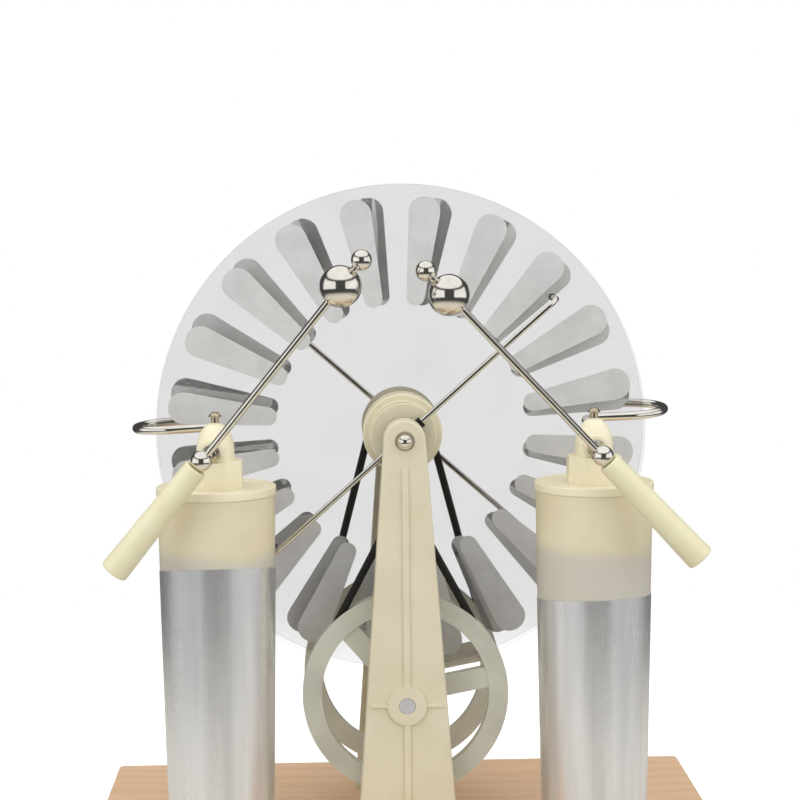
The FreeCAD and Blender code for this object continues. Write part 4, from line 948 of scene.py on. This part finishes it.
class Shop:
    """Turns forms into finished pieces and construction nodes into dressed ones."""

    def __init__(self, frame: Mapping[str, object]) -> None:
        """Read which body carries each node.

        Args:
            frame: the loaded frame, with its nodes and its record.
        """
        self.nodes: Mapping[str, bpy.types.Object] = frame["nodes"]
        behaviour = frame["record"]["behaviour"]
        self.carrier = {node: body for body, members in behaviour["bodies"].items()
                        for node in members}

    def present(self, form: Form, name: str, finish: Finish, *nodes: str,
                smooth: float = 40.0) -> None:
        """Make a finished piece that stands for construction nodes.

        Args:
            form: the piece's shape, in place, in millimetres.
            name: the piece's name.
            finish: its finish.
            nodes: the nodes it stands for, all on one body.
            smooth: angle in degrees up to which neighbouring faces shade as one.
        """
        bmesh.ops.scale(form.mesh, vec=(MM,) * 3, verts=form.mesh.verts[:])
        for face in form.mesh.faces:
            face.smooth = True
        mesh = bpy.data.meshes.new(name)
        form.mesh.to_mesh(mesh)
        form.mesh.free()
        mesh.set_sharp_from_angle(angle=math.radians(smooth))
        mesh.materials.append(finish.material())
        piece = bpy.data.objects.new(name, mesh)
        bpy.context.scene.collection.objects.link(piece)
        even = piece.modifiers.new("even_shading", "WEIGHTED_NORMAL")
        even.keep_sharp = True
        body = self.carrier[nodes[0]]
        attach(piece, body)
        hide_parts(*nodes)
        LOG.info("%s: %d faces on %s", name, len(mesh.polygons), body)

    def ease(self, node: str, name: str, finish: Finish, width: float, segments: int = 3,
             sharper: float = 40.0, smooth: float = 35.0, flat: float = 0.5) -> None:
        """Let a copy of a construction node with eased edges stand for it.

        Args:
            node: the node.
            name: the piece's name.
            finish: its finish.
            width: reach of the rounding on each side of an edge; 0 leaves the edges.
            segments: facets of the rounding.
            sharper: angle in degrees above which an edge is rounded.
            smooth: angle in degrees up to which neighbouring faces shade as one.
            flat: angle in degrees up to which neighbouring faces count as one.
        """
        form = Form.copied(self.nodes[node], flat)
        if width:
            form.soften(width, segments, sharper)
        self.present(form, name, finish, node, smooth=smooth)

    def dress(self, node: str, finish: Finish) -> None:
        """Give a construction node a finish.

        Args:
            node: the node.
            finish: its finish.
        """
        mesh = self.nodes[node].data
        mesh.materials.clear()
        mesh.materials.append(finish.material())
        LOG.info("%s: dressed", node)


# ----------------------------------------------------------------------------------------
# The machine
# ----------------------------------------------------------------------------------------
@dataclass(frozen=True)
class Layout:
    """The heights and places that several sub-assemblies share."""

    axis: float = 251.5
    crank: float = 105.0
    jar: float = 26.3
    lid: float = 228.2
    stud: float = 248.3
    leg: float = 256.6
    jar_offset: float = 102.5
    jar_forward: float = 65.7


PLACES = Layout()
FULL_ROUND = 0.98
"""Share of a short edge that a full rounding takes up, so that two don't meet."""


@dataclass
class Paired:
    """A sub-assembly of which there are two, told apart by the way that they face."""

    shop: Shop
    way: Way

    def called(self, stem: str) -> str:
        """A name with the word for the way before it."""
        return f"{self.way.word}_{stem}"

    def show(self, form: Form, stem: str, finish: Finish, node: str) -> None:
        """Present a piece; both names get the word for the way."""
        self.shop.present(form, self.called(stem), finish, self.called(node))


@dataclass
class Base:
    """The wooden base, its feet and fasteners, and the strip that joins the jars."""

    shop: Shop
    foot_x: float = 157.0
    foot_ys: tuple[float, float] = (-104.0, 81.0)
    foot_height: float = 8.0
    foot_top: float = 11.0
    foot_bottom: float = 9.5
    recess: tuple[float, float] = (5.2, 4.5)
    hole: float = 2.2

    def feet(self) -> None:
        """Four moulded feet with a recess for the screw head."""
        wide, deep = self.recess
        feet = Form()
        for x in (-self.foot_x, self.foot_x):
            for y in self.foot_ys:
                foot = Form.turned([
                    (self.hole, deep), (wide, deep), (wide, 0), (self.foot_bottom, 0, 0.8),
                    (self.foot_top, self.foot_height, 0.5), (self.hole, self.foot_height)], 48)
                feet.take(foot.shift(x, y))
        self.shop.present(feet, "moulded_feet", FEET, "rubber_feet")

    def build(self) -> None:
        """Build and dress everything below the uprights."""
        self.shop.ease("base_board", "varnished_board", BEECH, 0)
        self.feet()
        for node in ("foot_screws", "upright_screws"):
            self.shop.dress(node, ZINC)
        self.shop.dress("jar_link_strip", JAR_FOIL)


@dataclass
class Uprights:
    """The two moulded uprights and the fixed axle between them."""

    shop: Shop
    edge: float = 0.55
    nut_radius: float = 4.15
    nut_seat: float = 59.4
    nut_top: float = 7.35
    thread: float = 2.02
    thread_depth: float = 3.3

    def nuts(self) -> None:
        """The two domed nuts that hold the axle."""
        nuts = Form()
        for end in End:
            nut = Form.turned([
                (self.thread, 0), (self.nut_radius, 0, 0.3),
                (self.nut_radius, self.nut_top, self.nut_radius - 0.02), (0, self.nut_top),
                (0, self.thread_depth), (self.thread, self.thread_depth)], 48, rounding=10)
            nuts.take(nut.shift(z=self.nut_seat).onto_y(end.value).shift(z=PLACES.axis))
        self.shop.present(nuts, "domed_nuts", NICKEL, "axle_nuts")

    def build(self) -> None:
        """Build both uprights and what hangs on them."""
        for end in End:
            node = f"{end.word}_upright"
            self.shop.ease(node, f"{node}_moulding", CREAM, self.edge, sharper=35)
        self.nuts()
        self.shop.dress("disc_axle", STEEL)
        self.shop.dress("disc_spacer", NYLON)


@dataclass
class Rotor(Paired):
    """One disc with its foil sectors and pulley."""

    sector_angle: float
    radius: float = 140.0
    hole: float = 7.0
    inner_face: float = 3.0
    outer_face: float = 6.0
    edge: float = 0.5
    sectors: int = 20
    sector_low: float = 71.5
    sector_high: float = 133.5
    sector_low_half: float = 4.79
    sector_high_half: float = 9.72
    sector_round: float = 0.97
    foil: float = 0.3
    foil_edge: float = 0.1
    bore: float = 3.05
    plug_start: float = 2.1
    boss: float = 22.4
    boss_end: float = 24.0
    flange: float = 18.6
    pulley_end: float = 37.0
    groove_radius: float = 16.2
    groove_middle: float = 31.7
    groove_half: float = 2.35
    groove_flare: float = 0.45

    def disc(self) -> None:
        """The clear disc with its eased rim."""
        form = Form.turned([
            (self.hole, self.inner_face), (self.radius, self.inner_face, self.edge),
            (self.radius, self.outer_face, self.edge), (self.hole, self.outer_face)], 240)
        self.show(form.onto_y(self.way.value).shift(z=PLACES.axis), "clear_disc", CLEAR, "disc")

    def foils(self) -> None:
        """The ring of foil sectors on the outer face."""
        low, high = self.sector_low, self.sector_high
        narrow, wide = self.sector_low_half, self.sector_high_half
        small, large = narrow * self.sector_round, wide * self.sector_round
        form = Form.plate([(-narrow, low, small), (narrow, low, small),
                           (wide, high, large), (-wide, high, large)], self.foil)
        outer = -self.outer_face - self.foil
        form.shift(y=outer)
        form.soften(self.foil_edge, 1, 60,
                    lambda edge: all(vert.co.y < outer + 1e-3 for vert in edge.verts))
        form.ring(self.sectors)
        if self.way is End.REAR:
            form.turn(180, "Z")
        form.turn(self.sector_angle).shift(z=PLACES.axis)
        # The rear ring takes the foil copy painted lighter, against the shade behind the discs
        # and the front foils.
        finish = SECTOR_FOIL if self.way is End.FRONT else REAR_FOIL_PAINTED_LIGHTER
        self.show(form, "foil_sectors", finish, "sectors")

    def pulley(self) -> None:
        """The moulded pulley: boss, belt groove and end flange."""
        near, far = self.groove_middle - self.groove_half, self.groove_middle + self.groove_half
        floor, hollow = self.groove_radius - self.groove_half, self.groove_half * FULL_ROUND
        form = Form.turned([
            (self.bore, self.plug_start), (self.hole, self.plug_start),
            (self.hole, self.outer_face), (self.boss, self.outer_face),
            (self.boss, self.boss_end, 1.2), (self.flange, self.boss_end, 0.4),
            (self.flange, near - self.groove_flare, 0.3), (self.groove_radius, near),
            (floor, near, hollow), (floor, far, hollow), (self.groove_radius, far),
            (self.flange, far + self.groove_flare, 0.3), (self.flange, self.pulley_end, 0.8),
            (self.bore, self.pulley_end)], rounding=5)
        form.onto_y(self.way.value).shift(z=PLACES.axis)
        self.show(form, "moulded_pulley", CREAM, "pulley")

    def build(self) -> None:
        """Build the disc, its foils and its pulley."""
        self.disc()
        self.foils()
        self.pulley()
        self.shop.dress(self.called("pulley_screws"), ZINC)


@dataclass
class Belt(Paired):
    """One round belt from a drive wheel to a pulley."""

    crossed: bool
    radius: float = 2.2
    wheel: float = 53.0
    pulley: float = 16.2
    plane: float = 31.7
    crossing_shift: float = 2.45
    steps: int = 16

    def straight(self, bar: Bar, length: float, side: int, crossing: float) -> None:
        """One run; a crossed belt moves aside to pass the other run.

        Args:
            bar: the belt in the making.
            length: length of the run.
            side: the way it moves aside, along Y.
            crossing: share of the run at which the two runs cross.
        """
        def aside(share: float) -> float:
            """How far aside the run is after a share of its length."""
            near = share / crossing if share < crossing else (1 - share) / (1 - crossing)
            return side * self.crossing_shift * (0.5 - 0.5 * math.cos(math.pi * near))

        if not self.crossed:
            bar.run(length)
            return
        for step in range(self.steps):
            drift = aside((step + 1) / self.steps) - aside(step / self.steps)
            bar.run(length / self.steps, (0, drift, 0))

    def build(self) -> None:
        """Lead the belt round the wheel, up, round the pulley and down."""
        drop = PLACES.axis - PLACES.crank
        reach = self.wheel + self.pulley if self.crossed else self.wheel - self.pulley
        lean = math.acos(reach / drop)
        length = math.sqrt(drop ** 2 - reach ** 2)
        y = self.plane * self.way.value
        wheel, pulley = (0, y, PLACES.crank), (0, y, PLACES.axis)
        start = (self.wheel * math.sin(lean), y, PLACES.crank + self.wheel * math.cos(lean))
        bar = Bar(self.radius, start, (math.cos(lean), 0, -math.sin(lean)), 20)
        wrap = 360 - 2 * math.degrees(lean)
        crossing = self.wheel / (self.wheel + self.pulley)
        bar.bend(wheel, (0, 1, 0), wrap, 64)
        self.straight(bar, length, 1, crossing)
        bar.bend(pulley, (0, 1, 0), -wrap if self.crossed else 360 - wrap, 36)
        self.straight(bar, length, -1, 1 - crossing)
        self.show(bar.cleaned(1e-2), "round_belt", BELT, "belt")


@dataclass
class Drive:
    """The crank, its shaft and the two drive wheels."""

    shop: Shop
    wheel_edge: float = 0.8
    arm_edge: float = 0.6
    pin_edge: float = 0.4
    grip_start: float = 76.0
    grip_collar: float = 80.0
    grip_shoulder: float = 88.0
    grip_heel: float = 117.3
    grip_end: float = 125.3
    grip_radius: float = 8.5
    grip_neck: float = 6.5
    grip_bore: float = 3.05
    throw: float = 58.0

    def grip(self) -> None:
        """The turned grip that spins on the crank pin."""
        start, end = self.grip_start, self.grip_end
        form = Form.turned([
            (self.grip_bore, start, 0.3), (self.grip_neck, start, 1.0),
            (self.grip_neck, self.grip_collar, 2.5), (self.grip_radius, self.grip_shoulder, 3.5),
            (self.grip_radius, self.grip_heel, 4.0), (self.grip_neck + 0.6, end, 1.5),
            (self.grip_bore, end, 0.3)], 64, rounding=6)
        form.onto_y().shift(z=PLACES.crank - self.throw)
        self.shop.present(form, "turned_grip", BLACK, "crank_grip")

    def build(self) -> None:
        """Build the wheels and the crank."""
        for end in End:
            self.shop.ease(f"{end.word}_wheel", f"{end.word}_drive_wheel", NYLON, self.wheel_edge)
        self.shop.ease("crank_arm", "forged_crank_arm", STEEL, self.arm_edge)
        self.grip()
        for node in ("crank_shaft", "grip_pin"):
            self.shop.ease(node, f"turned_{node}", STEEL, self.pin_edge, 2, 60)
        self.shop.dress("crank_set_screws", ZINC)


@dataclass
class Neutraliser(Paired):
    """One neutraliser: a hub, two bent half rods and a brush on the end of each."""

    tilt: float
    plane: float = 42.4
    radius: float = 1.5
    start: float = 5.0
    reaches: tuple[float, float] = (-98.0, 114.0)
    bend: float = 6.0
    rod_end: float = 15.0
    hub_edge: float = 0.5
    crimp_start: float = 17.0
    crimp_radius: float = 1.95
    crimp_end: float = 13.6
    crimp_socket: float = 1.9
    tuft_end: float = 6.75
    tuft_root: float = 0.95
    tuft_splay: float = 0.9
    wires: int = 18
    wire_root: float = 0.14
    wire_tip: float = 0.1
    wire_hidden: float = 0.6
    golden_turn: float = 2.39996

    def placed(self, form: Form) -> Form:
        """Bring a shape made on the front side, level, to its place.

        Args:
            form: the shape.

        Returns:
            The same form.
        """
        if self.way is End.REAR:
            form.turn(180, "Z")
        return form.turn(self.tilt).shift(z=PLACES.axis)

    def rods(self) -> None:
        """The two half rods, bent towards the disc."""
        rods = Form()
        for reach in self.reaches:
            sign = 1 if reach > 0 else -1
            bar = Bar(self.radius, (self.start * sign, -self.plane, 0), (sign, 0, 0))
            bar.run(abs(reach) - self.bend - self.start)
            centre = (reach - self.bend * sign, -self.plane + self.bend, 0)
            bar.bend(centre, (0, 0, 1), 90 * sign, 10)
            bar.run(self.plane - self.bend - self.rod_end)
            rods.take(bar.capped())
        self.show(self.placed(rods), "bent_rods", NICKEL, "neutralizer_rod")

    def strand(self, index: int) -> Form:
        """One wire of a tuft, splayed outwards, with the tuft's root at the origin.

        Args:
            index: its number, counted from the middle of the tuft.

        Returns:
            The wire.
        """
        share = math.sqrt((index + 0.5) / self.wires)
        length = self.crimp_end - self.tuft_end
        strand = Form()
        bmesh.ops.create_cone(strand.mesh, cap_ends=True, segments=6, radius1=self.wire_root,
                              radius2=self.wire_tip, depth=length + 2 * self.wire_hidden)
        strand.turn(math.degrees(math.atan2(self.tuft_splay * share, length)))
        strand.shift((self.tuft_root + self.tuft_splay / 2) * share, 0,
                     length / 2 - self.wire_hidden)
        return strand.turn(math.degrees(index * self.golden_turn), "Z")

    def brushes(self) -> None:
        """A crimped sleeve on each rod end with a splayed tuft of fine wires."""
        brushes = Form()
        mouth, crimp = self.radius * 0.5, self.crimp_start - self.crimp_end
        for reach in self.reaches:
            sleeve = Form.turned([
                (self.radius, 0), (self.crimp_radius, 0, 0.2), (self.crimp_radius, crimp, 0.4),
                (mouth, crimp), (mouth, self.crimp_socket), (self.radius, self.crimp_socket)], 24)
            brushes.take(sleeve.onto_y().shift(x=reach, y=-self.crimp_start))
            for index in range(self.wires):
                brushes.take(self.strand(index).onto_y().shift(x=reach, y=-self.crimp_end))
        self.show(self.placed(brushes), "wire_brushes", TINSEL, "neutralizer_brushes")

    def build(self) -> None:
        """Build the hub, the rods and the brushes."""
        self.shop.ease(self.called("neutralizer_hub"), self.called("turned_hub"), DARK_METAL,
                       self.hub_edge, sharper=50)
        self.rods()
        self.brushes()


@dataclass
class Jar(Paired):
    """One Leyden jar with its foils, lid, post and fittings."""

    foil_height: float
    foil_slope: float
    foil_facing: float
    bottom: float = 28.4
    top: float = 31.9
    wall: float = 1.8
    floor: float = 2.5
    foil: float = 0.3
    foil_ease: float = 0.02
    foil_spare: float = 9.0
    lid_radius: float = 32.4
    lid_thickness: float = 3.4
    lip: float = 1.1
    lip_width: float = 1.6
    spigot: float = 8.0
    web: float = 4.0
    web_step: float = 4.0
    plug: float = 7.0
    plug_rim: float = 2.0
    post_edge: float = 0.5

    @property
    def rim(self) -> float:
        """Height of the vessel's rim above its bottom."""
        return PLACES.lid - self.lid_thickness - PLACES.jar

    def radius_at(self, height: float) -> float:
        """The jar's outer radius at a height above its bottom."""
        return self.bottom + (self.top - self.bottom) * height / (PLACES.lid - PLACES.jar)

    def seated(self, form: Form, height: float) -> Form:
        """Bring a shape on the jar's own axis to its place."""
        return form.shift(PLACES.jar_offset * self.way.value, -PLACES.jar_forward, height)

    def vessel(self) -> None:
        """The moulded cup with a rounded foot and rim."""
        form = Form.turned([
            (0, 0), (self.bottom, 0, 0.6), (self.radius_at(self.rim), self.rim, 0.3),
            (self.radius_at(self.rim) - self.wall, self.rim, 0.3),
            (self.radius_at(self.floor) - self.wall, self.floor, 2.0), (0, self.floor)], 128)
        self.show(self.seated(form, PLACES.jar), "jar_vessel", JAR, "jar")

    def outer_foil(self) -> None:
        """The outer foil, its top edge trimmed by hand a little out of level."""
        ease, skin, cap = self.foil_ease, self.foil, self.foil_height + self.foil_spare
        form = Form.turned([
            (0, -skin), (self.bottom + skin, -skin, 0.25), (self.radius_at(cap) + skin, cap),
            (self.radius_at(cap) + ease, cap), (self.bottom + ease, 0), (0, 0)], 160)
        form.trim((0, 0, self.foil_height), (0, self.foil_slope, 1)).turn(self.foil_facing, "Z")
        self.show(self.seated(form, PLACES.jar), "wrapped_foil", JAR_FOIL, "outer_foil")

    def lid(self) -> None:
        """The turned lid with its raised lip and plug."""
        plug = self.radius_at(self.rim - self.plug) - self.wall - self.foil_ease
        under, radius = -self.lid_thickness, self.lid_radius
        web, deep = under - self.web, under - self.plug
        form = Form.turned([
            (self.spigot, web), (plug - self.web_step, web, 0.5),
            (plug - self.plug_rim, deep, 0.4), (plug, deep, 0.6), (plug, under),
            (radius, under, 0.5), (radius, self.lip, 0.5),
            (radius - self.lip_width, self.lip, 0.5),
            (radius - self.lip_width - 0.8, 0, 0.5), (self.spigot, 0)], 128)
        self.show(self.seated(form, PLACES.lid), "lipped_lid", PALE_CREAM, "lid")

    def build(self) -> None:
        """Build the jar from the inside out."""
        self.vessel()
        self.outer_foil()
        self.lid()
        self.shop.ease(self.called("post"), self.called("moulded_post"), PALE_CREAM,
                       self.post_edge, smooth=50, flat=0.2)
        self.shop.dress(self.called("inner_foil"), JAR_FOIL)
        self.shop.dress(self.called("contact_rod"), STEEL)


@dataclass
class Collector(Paired):
    """One charge collector: a bar bent round the rim of the discs, with its comb pins."""

    tilt: float
    rise: float
    radius: float = 2.4
    into_post: float = 6.5
    spread: float = 23.0
    bend: float = 9.0
    reach: float = 151.3
    back_end: float = 84.0
    pin_radius: float = 0.45
    pin_point: float = 0.08
    pin_taper: float = 1.5
    pin_tip: float = 8.2
    pin_pitch: float = 4.0
    pin_last: float = 124.0
    front_first: float = 116.0
    back_first: float = 88.0

    def tube(self) -> Bar:
        """The bent bar.

        Returns:
            The bar, about the axis of the jar that it stands on.
        """
        sign = self.way.value
        near = PLACES.jar_forward - self.spread
        out = self.reach - PLACES.jar_offset - self.spread
        bar = Bar(self.radius, (0, -self.into_post, 0), (0, 1, 0), 32)
        bar.run(self.into_post + near - self.bend)
        bar.bend((self.bend * sign, near - self.bend, 0), (0, 0, 1), -90 * sign, 12)
        bar.run(out - self.bend)
        bar.bend((out * sign, PLACES.jar_forward, 0), (0, 0, 1), 180 * sign, 40)
        bar.run(out + PLACES.jar_offset - self.back_end)
        return bar.capped(0.5)

    def pins(self) -> Form:
        """Two rows of sharpened pins towards the discs.

        Returns:
            The pins, about the axis of the jar that they stand on.
        """
        pins = Form()
        root = self.spread - self.radius * 0.5
        length = root - self.pin_tip
        for level, first in ((-1, self.front_first), (1, self.back_first)):
            count = int((self.pin_last - first) / self.pin_pitch + 1e-6) + 1
            for index in range(count):
                across = (first + index * self.pin_pitch - PLACES.jar_offset) * self.way.value
                pin = Form.turned([(0, 0), (self.pin_radius, 0),
                                   (self.pin_radius, length - self.pin_taper),
                                   (self.pin_point, length), (0, length)], 10)
                pins.take(pin.onto_y(-level).shift(across, PLACES.jar_forward + level * root))
        return pins

    def build(self) -> None:
        """Build the bar and its pins as one soldered piece."""
        form = self.tube().take(self.pins())
        form.turn(self.rise, "X").turn(self.tilt)
        form.shift(PLACES.jar_offset * self.way.value, -PLACES.jar_forward, PLACES.leg)
        self.show(form, "bent_collector", NICKEL, "collector")


@dataclass
class Discharger(Paired):
    """One discharge rod with its two balls, pivot ball and insulating handle."""

    lean: float
    facing: float
    stud: float = 44.3
    rod: float = 1.9
    tail: float = 29.0
    pivot: float = 5.7
    big: float = 10.9
    big_at: float = 116.3
    tip: float = 5.4
    tip_at: float = 133.5
    handle_start: float = 4.6
    cup_gap: float = 0.15
    cup_steps: int = 6
    bore_gap: float = 0.02
    handle_end: float = 75.0
    handle_neck: float = 6.2
    handle_width: float = 7.6
    handle_bore: float = 30.0

    def placed(self, form: Form) -> Form:
        """Lean an upright shape inwards on the pivot of its turned post."""
        form.turn(-self.lean * self.way.value).shift(y=-self.stud).turn(self.facing, "Z")
        return form.shift(PLACES.jar_offset * self.way.value, -PLACES.jar_forward, PLACES.stud)

    def handle(self) -> Form:
        """The handle, cupped at its end to sit close round the pivot ball.

        Returns:
            The handle, hanging below the pivot.
        """
        bore = self.rod + self.bore_gap
        cup = self.pivot + self.cup_gap
        inner, outer = math.asin(bore / cup), math.acos(self.handle_start / cup)
        step = (outer - inner) / self.cup_steps
        angles = [inner + step * count for count in range(self.cup_steps + 1)]
        return Form.turned([
            *((cup * math.sin(angle), -cup * math.cos(angle)) for angle in angles),
            (self.handle_neck, -self.handle_start, 1.0),
            (self.handle_width, -self.handle_end, 1.2), (0, -self.handle_end),
            (0, -self.handle_bore), (bore, -self.handle_bore)], 64, rounding=6)

    def build(self) -> None:
        """Build the rod, the balls and the handle."""
        rod = Bar(self.rod, (0, 0, -self.tail), (0, 0, 1)).run(self.tail + self.tip_at).capped()
        self.show(self.placed(rod), "plated_rod", NICKEL, "spark_rod")
        for radius, height, stem, node in (
                (self.big, self.big_at, "large_ball", "spark_ball"),
                (self.tip, self.tip_at, "small_ball", "spark_tip"),
                (self.pivot, 0.0, "hinge_ball", "pivot_ball")):
            self.show(self.placed(Form.ball(radius, height)), stem, NICKEL, node)
        self.show(self.placed(self.handle()), "turned_handle", HANDLE, "handle")


@dataclass
class Fittings:
    """The clamp screws and hinge studs on both posts."""

    shop: Shop
    edge: float = 0.25

    def build(self) -> None:
        """Ease and plate the small turned parts."""
        for node, name, finish in (("post_clamp_screws", "aged_clamp_screws", AGED),
                                   ("pivot_studs", "hinge_studs_plated", NICKEL)):
            self.shop.ease(node, name, finish, self.edge, 2, 50, smooth=40)


# ----------------------------------------------------------------------------------------
# Studio
# ----------------------------------------------------------------------------------------
@dataclass(frozen=True)
class Lamp:
    """A soft rectangular lamp that looks at a point; lengths in metres."""

    name: str
    place: tuple[float, float, float]
    width: float
    height: float
    power: float
    target: tuple[float, float, float] = (0.0, 0.0, 0.2)

    def build(self) -> None:
        """Hang the lamp."""
        data = bpy.data.lights.new(self.name, "AREA")
        data.shape = "RECTANGLE"
        data.size, data.size_y, data.energy = self.width, self.height, self.power
        lamp = bpy.data.objects.new(self.name, data)
        lamp.location = self.place
        aim = Vector(self.target) - Vector(self.place)
        lamp.rotation_euler = aim.to_track_quat("-Z", "Y").to_euler()
        lamp.visible_glossy = False
        bpy.context.scene.collection.objects.link(lamp)


@dataclass(frozen=True)
class Viewpoint:
    """The camera, in millimetres and degrees, for a square picture."""

    place: tuple[float, float, float] = (-35.865, -1131.664, 380.049)
    pitch: float = 5.6445
    yaw: float = 1.7882
    roll: float = -0.53925
    lens: float = 89.307
    sensor: float = 36.0
    clip: tuple[float, float] = (0.05, 50.0)

    def build(self) -> None:
        """Set up the scene's camera."""
        pitch, yaw, roll = map(math.radians, (self.pitch, self.yaw, self.roll))
        ahead = Vector((math.sin(yaw) * math.cos(pitch), math.cos(yaw) * math.cos(pitch),
                        -math.sin(pitch)))
        level = Vector((math.cos(yaw), -math.sin(yaw), 0))
        upright = level.cross(ahead)
        right = level * math.cos(roll) + upright * math.sin(roll)
        above = upright * math.cos(roll) - level * math.sin(roll)
        data = bpy.data.cameras.new("viewpoint")
        data.lens, data.sensor_width = self.lens, self.sensor
        data.clip_start, data.clip_end = self.clip
        camera = bpy.data.objects.new("viewpoint", data)
        turn = Matrix((right, above, -ahead)).transposed().to_4x4()
        camera.matrix_world = Matrix.Translation(Vector(self.place) * MM) @ turn
        bpy.context.scene.collection.objects.link(camera)
        bpy.context.scene.camera = camera


@dataclass
class Studio:
    """A white floor in a white surround, lit by softboxes in an otherwise dark studio."""

    floor_radius: float = 1.6
    solid_radius: float = 0.35
    white: Colour = (0.97, 0.97, 0.97)
    bounce: Colour = (0.5, 0.5, 0.5)
    lift: Colour = (0.3, 0.3, 0.3)
    even_light: float = 0.8
    dark: float = 0.06
    top_edge: float = 0.54
    box_inner: float = 0.4
    box_outer: float = 0.42
    box_low: float = -0.22
    box_high: float = 0.5
    top_fade: float = 0.12
    inner_fade: float = 0.1
    outer_fade: float = 0.3
    low_fade: float = 0.08
    high_fade: float = 0.1
    shade: Colour = rgb(214, 209, 196)
    lamps: tuple[Lamp, ...] = (
        Lamp("left_softbox", (-1.12, -1.0, 0.85), 1.3, 1.8, 5.6, (0.0, 0.0, 0.4)),
        Lamp("right_softbox", (1.12, -1.0, 0.85), 1.3, 1.8, 5.3, (0.0, 0.0, 0.4)),
        Lamp("top_softbox", (0.0, -0.35, 1.45), 1.8, 1.2, 6.6),
    )

    def floor(self) -> None:
        """The floor: white, holding the shadow, and gone before its edge."""
        form = Form()
        bmesh.ops.create_circle(form.mesh, cap_ends=True, segments=96, radius=self.floor_radius)
        mesh = bpy.data.meshes.new("floor")
        form.mesh.to_mesh(mesh)
        form.mesh.free()
        bench = Bench(bpy.data.materials.new("white_floor"))
        along, deep, _ = bench.axes(bench.place())
        reach = bench.length(along, deep) * MM
        fading = reach.fade(self.solid_radius, self.floor_radius * 0.5)
        path = bench.node("ShaderNodeLightPath")
        mirrored = Wire(bench, path.outputs["Is Glossy Ray"])
        bounced = Wire(bench, path.outputs["Is Diffuse Ray"])
        tone = bench.blend(bounced, self.white, self.bounce)
        unseen = bench.maths("MAXIMUM", mirrored, bounced)
        white = bench.shader({
            "Base Color": bench.blend(mirrored, tone, self.shade),
            "Roughness": 0.9, "Specular IOR Level": 0.0,
            "Emission Color": bench.blend(unseen, self.lift, (0, 0, 0)),
            "Emission Strength": 1.0})
        clear = bench.node("ShaderNodeBsdfTransparent")
        mixed = bench.node("ShaderNodeMixShader", None, {
            0: fading, 1: Wire(bench, white.outputs[0]), 2: Wire(bench, clear.outputs[0])})
        mesh.materials.append(bench.done(Wire(bench, mixed.outputs[0])))
        floor = bpy.data.objects.new("floor", mesh)
        bpy.context.scene.collection.objects.link(floor)
        floor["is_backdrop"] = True

    def softboxes(self, bench: Bench) -> Wire:
        """The white boxes that gloss shows: one overhead and one on either side.

        Args:
            bench: the tree of the world.

        Returns:
            1 towards a box and 0 elsewhere.
        """
        toward = bench.node("ShaderNodeTexCoord")
        right, away, up = bench.axes(Wire(bench, toward.outputs["Generated"]))
        overhead = up.fade(self.top_edge, self.top_edge + self.top_fade)
        sides = right.size().fade(self.box_inner, self.box_inner + self.inner_fade)
        sides = sides * away.fade(self.box_outer, self.box_outer - self.outer_fade)
        sides = sides * up.fade(self.box_low, self.box_low + self.low_fade)
        sides = sides * up.fade(self.box_high, self.box_high - self.high_fade)
        return bench.maths("MAXIMUM", overhead, sides)

    def surroundings(self) -> None:
        """White to the eye, even for matt surfaces, and dark round the softboxes for gloss."""
        bench = Bench(bpy.data.worlds.new("studio"))
        bpy.context.scene.world = bench.owner
        path = bench.node("ShaderNodeLightPath")
        seen, mirrored, through = (
            Wire(bench, path.outputs[f"Is {kind} Ray"])
            for kind in ("Camera", "Glossy", "Transmission"))
        gloss = self.softboxes(bench) * (1.0 - self.dark) + self.dark
        strength = mirrored * (gloss - self.even_light) + self.even_light
        straight = bench.maths("MAXIMUM", seen, through)
        strength = straight * (1.0 - strength) + strength
        light = bench.node("ShaderNodeBackground", None,
                           {"Color": (1, 1, 1, 1), "Strength": strength})
        bench.done(Wire(bench, light.outputs[0]), "World")

    def build(self) -> None:
        """Lay the floor, light the scene and place the camera."""
        self.floor()
        self.surroundings()
        for lamp in self.lamps:
            lamp.build()
        Viewpoint().build()
        bpy.context.scene.view_settings.view_transform = "Standard"


def corners() -> list[list[float]]:
    """The lowest and highest corner of what shows, as plain lists."""
    return [list(corner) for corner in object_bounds()]


def assemblies(shop: Shop) -> Iterable[object]:
    """The sub-assemblies in the order in which they are built.

    Args:
        shop: the shop that finishes their pieces.

    Yields:
        Each sub-assembly.
    """
    yield Base(shop)
    yield Uprights(shop)
    yield Rotor(shop, End.FRONT, 6.5)
    yield Rotor(shop, End.REAR, 9.8)
    yield Belt(shop, End.FRONT, True)
    yield Belt(shop, End.REAR, False)
    yield Drive(shop)
    yield Neutraliser(shop, End.FRONT, -41.5)
    yield Neutraliser(shop, End.REAR, 41.5)
    yield Jar(shop, Side.LEFT, 157.4, 0.17, 6.0)
    yield Jar(shop, Side.RIGHT, 139.8, 0.1, 17.0)
    yield Collector(shop, Side.LEFT, -3.0, 0.0)
    yield Collector(shop, Side.RIGHT, -1.8, 3.3)
    yield Discharger(shop, Side.LEFT, 39.2, -6.0)
    yield Discharger(shop, Side.RIGHT, 43.25, -1.3)
    yield Fittings(shop)


def main() -> None:
    """Dress the whole machine and report every piece."""
    logging.basicConfig(level=logging.INFO, format="%(name)s %(message)s")
    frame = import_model()
    shop = Shop(frame)
    for assembly in assemblies(shop):
        LOG.info("building %s", type(assembly).__name__)
        assembly.build()
    Studio().build()


if __name__ == "__main__":
    main()
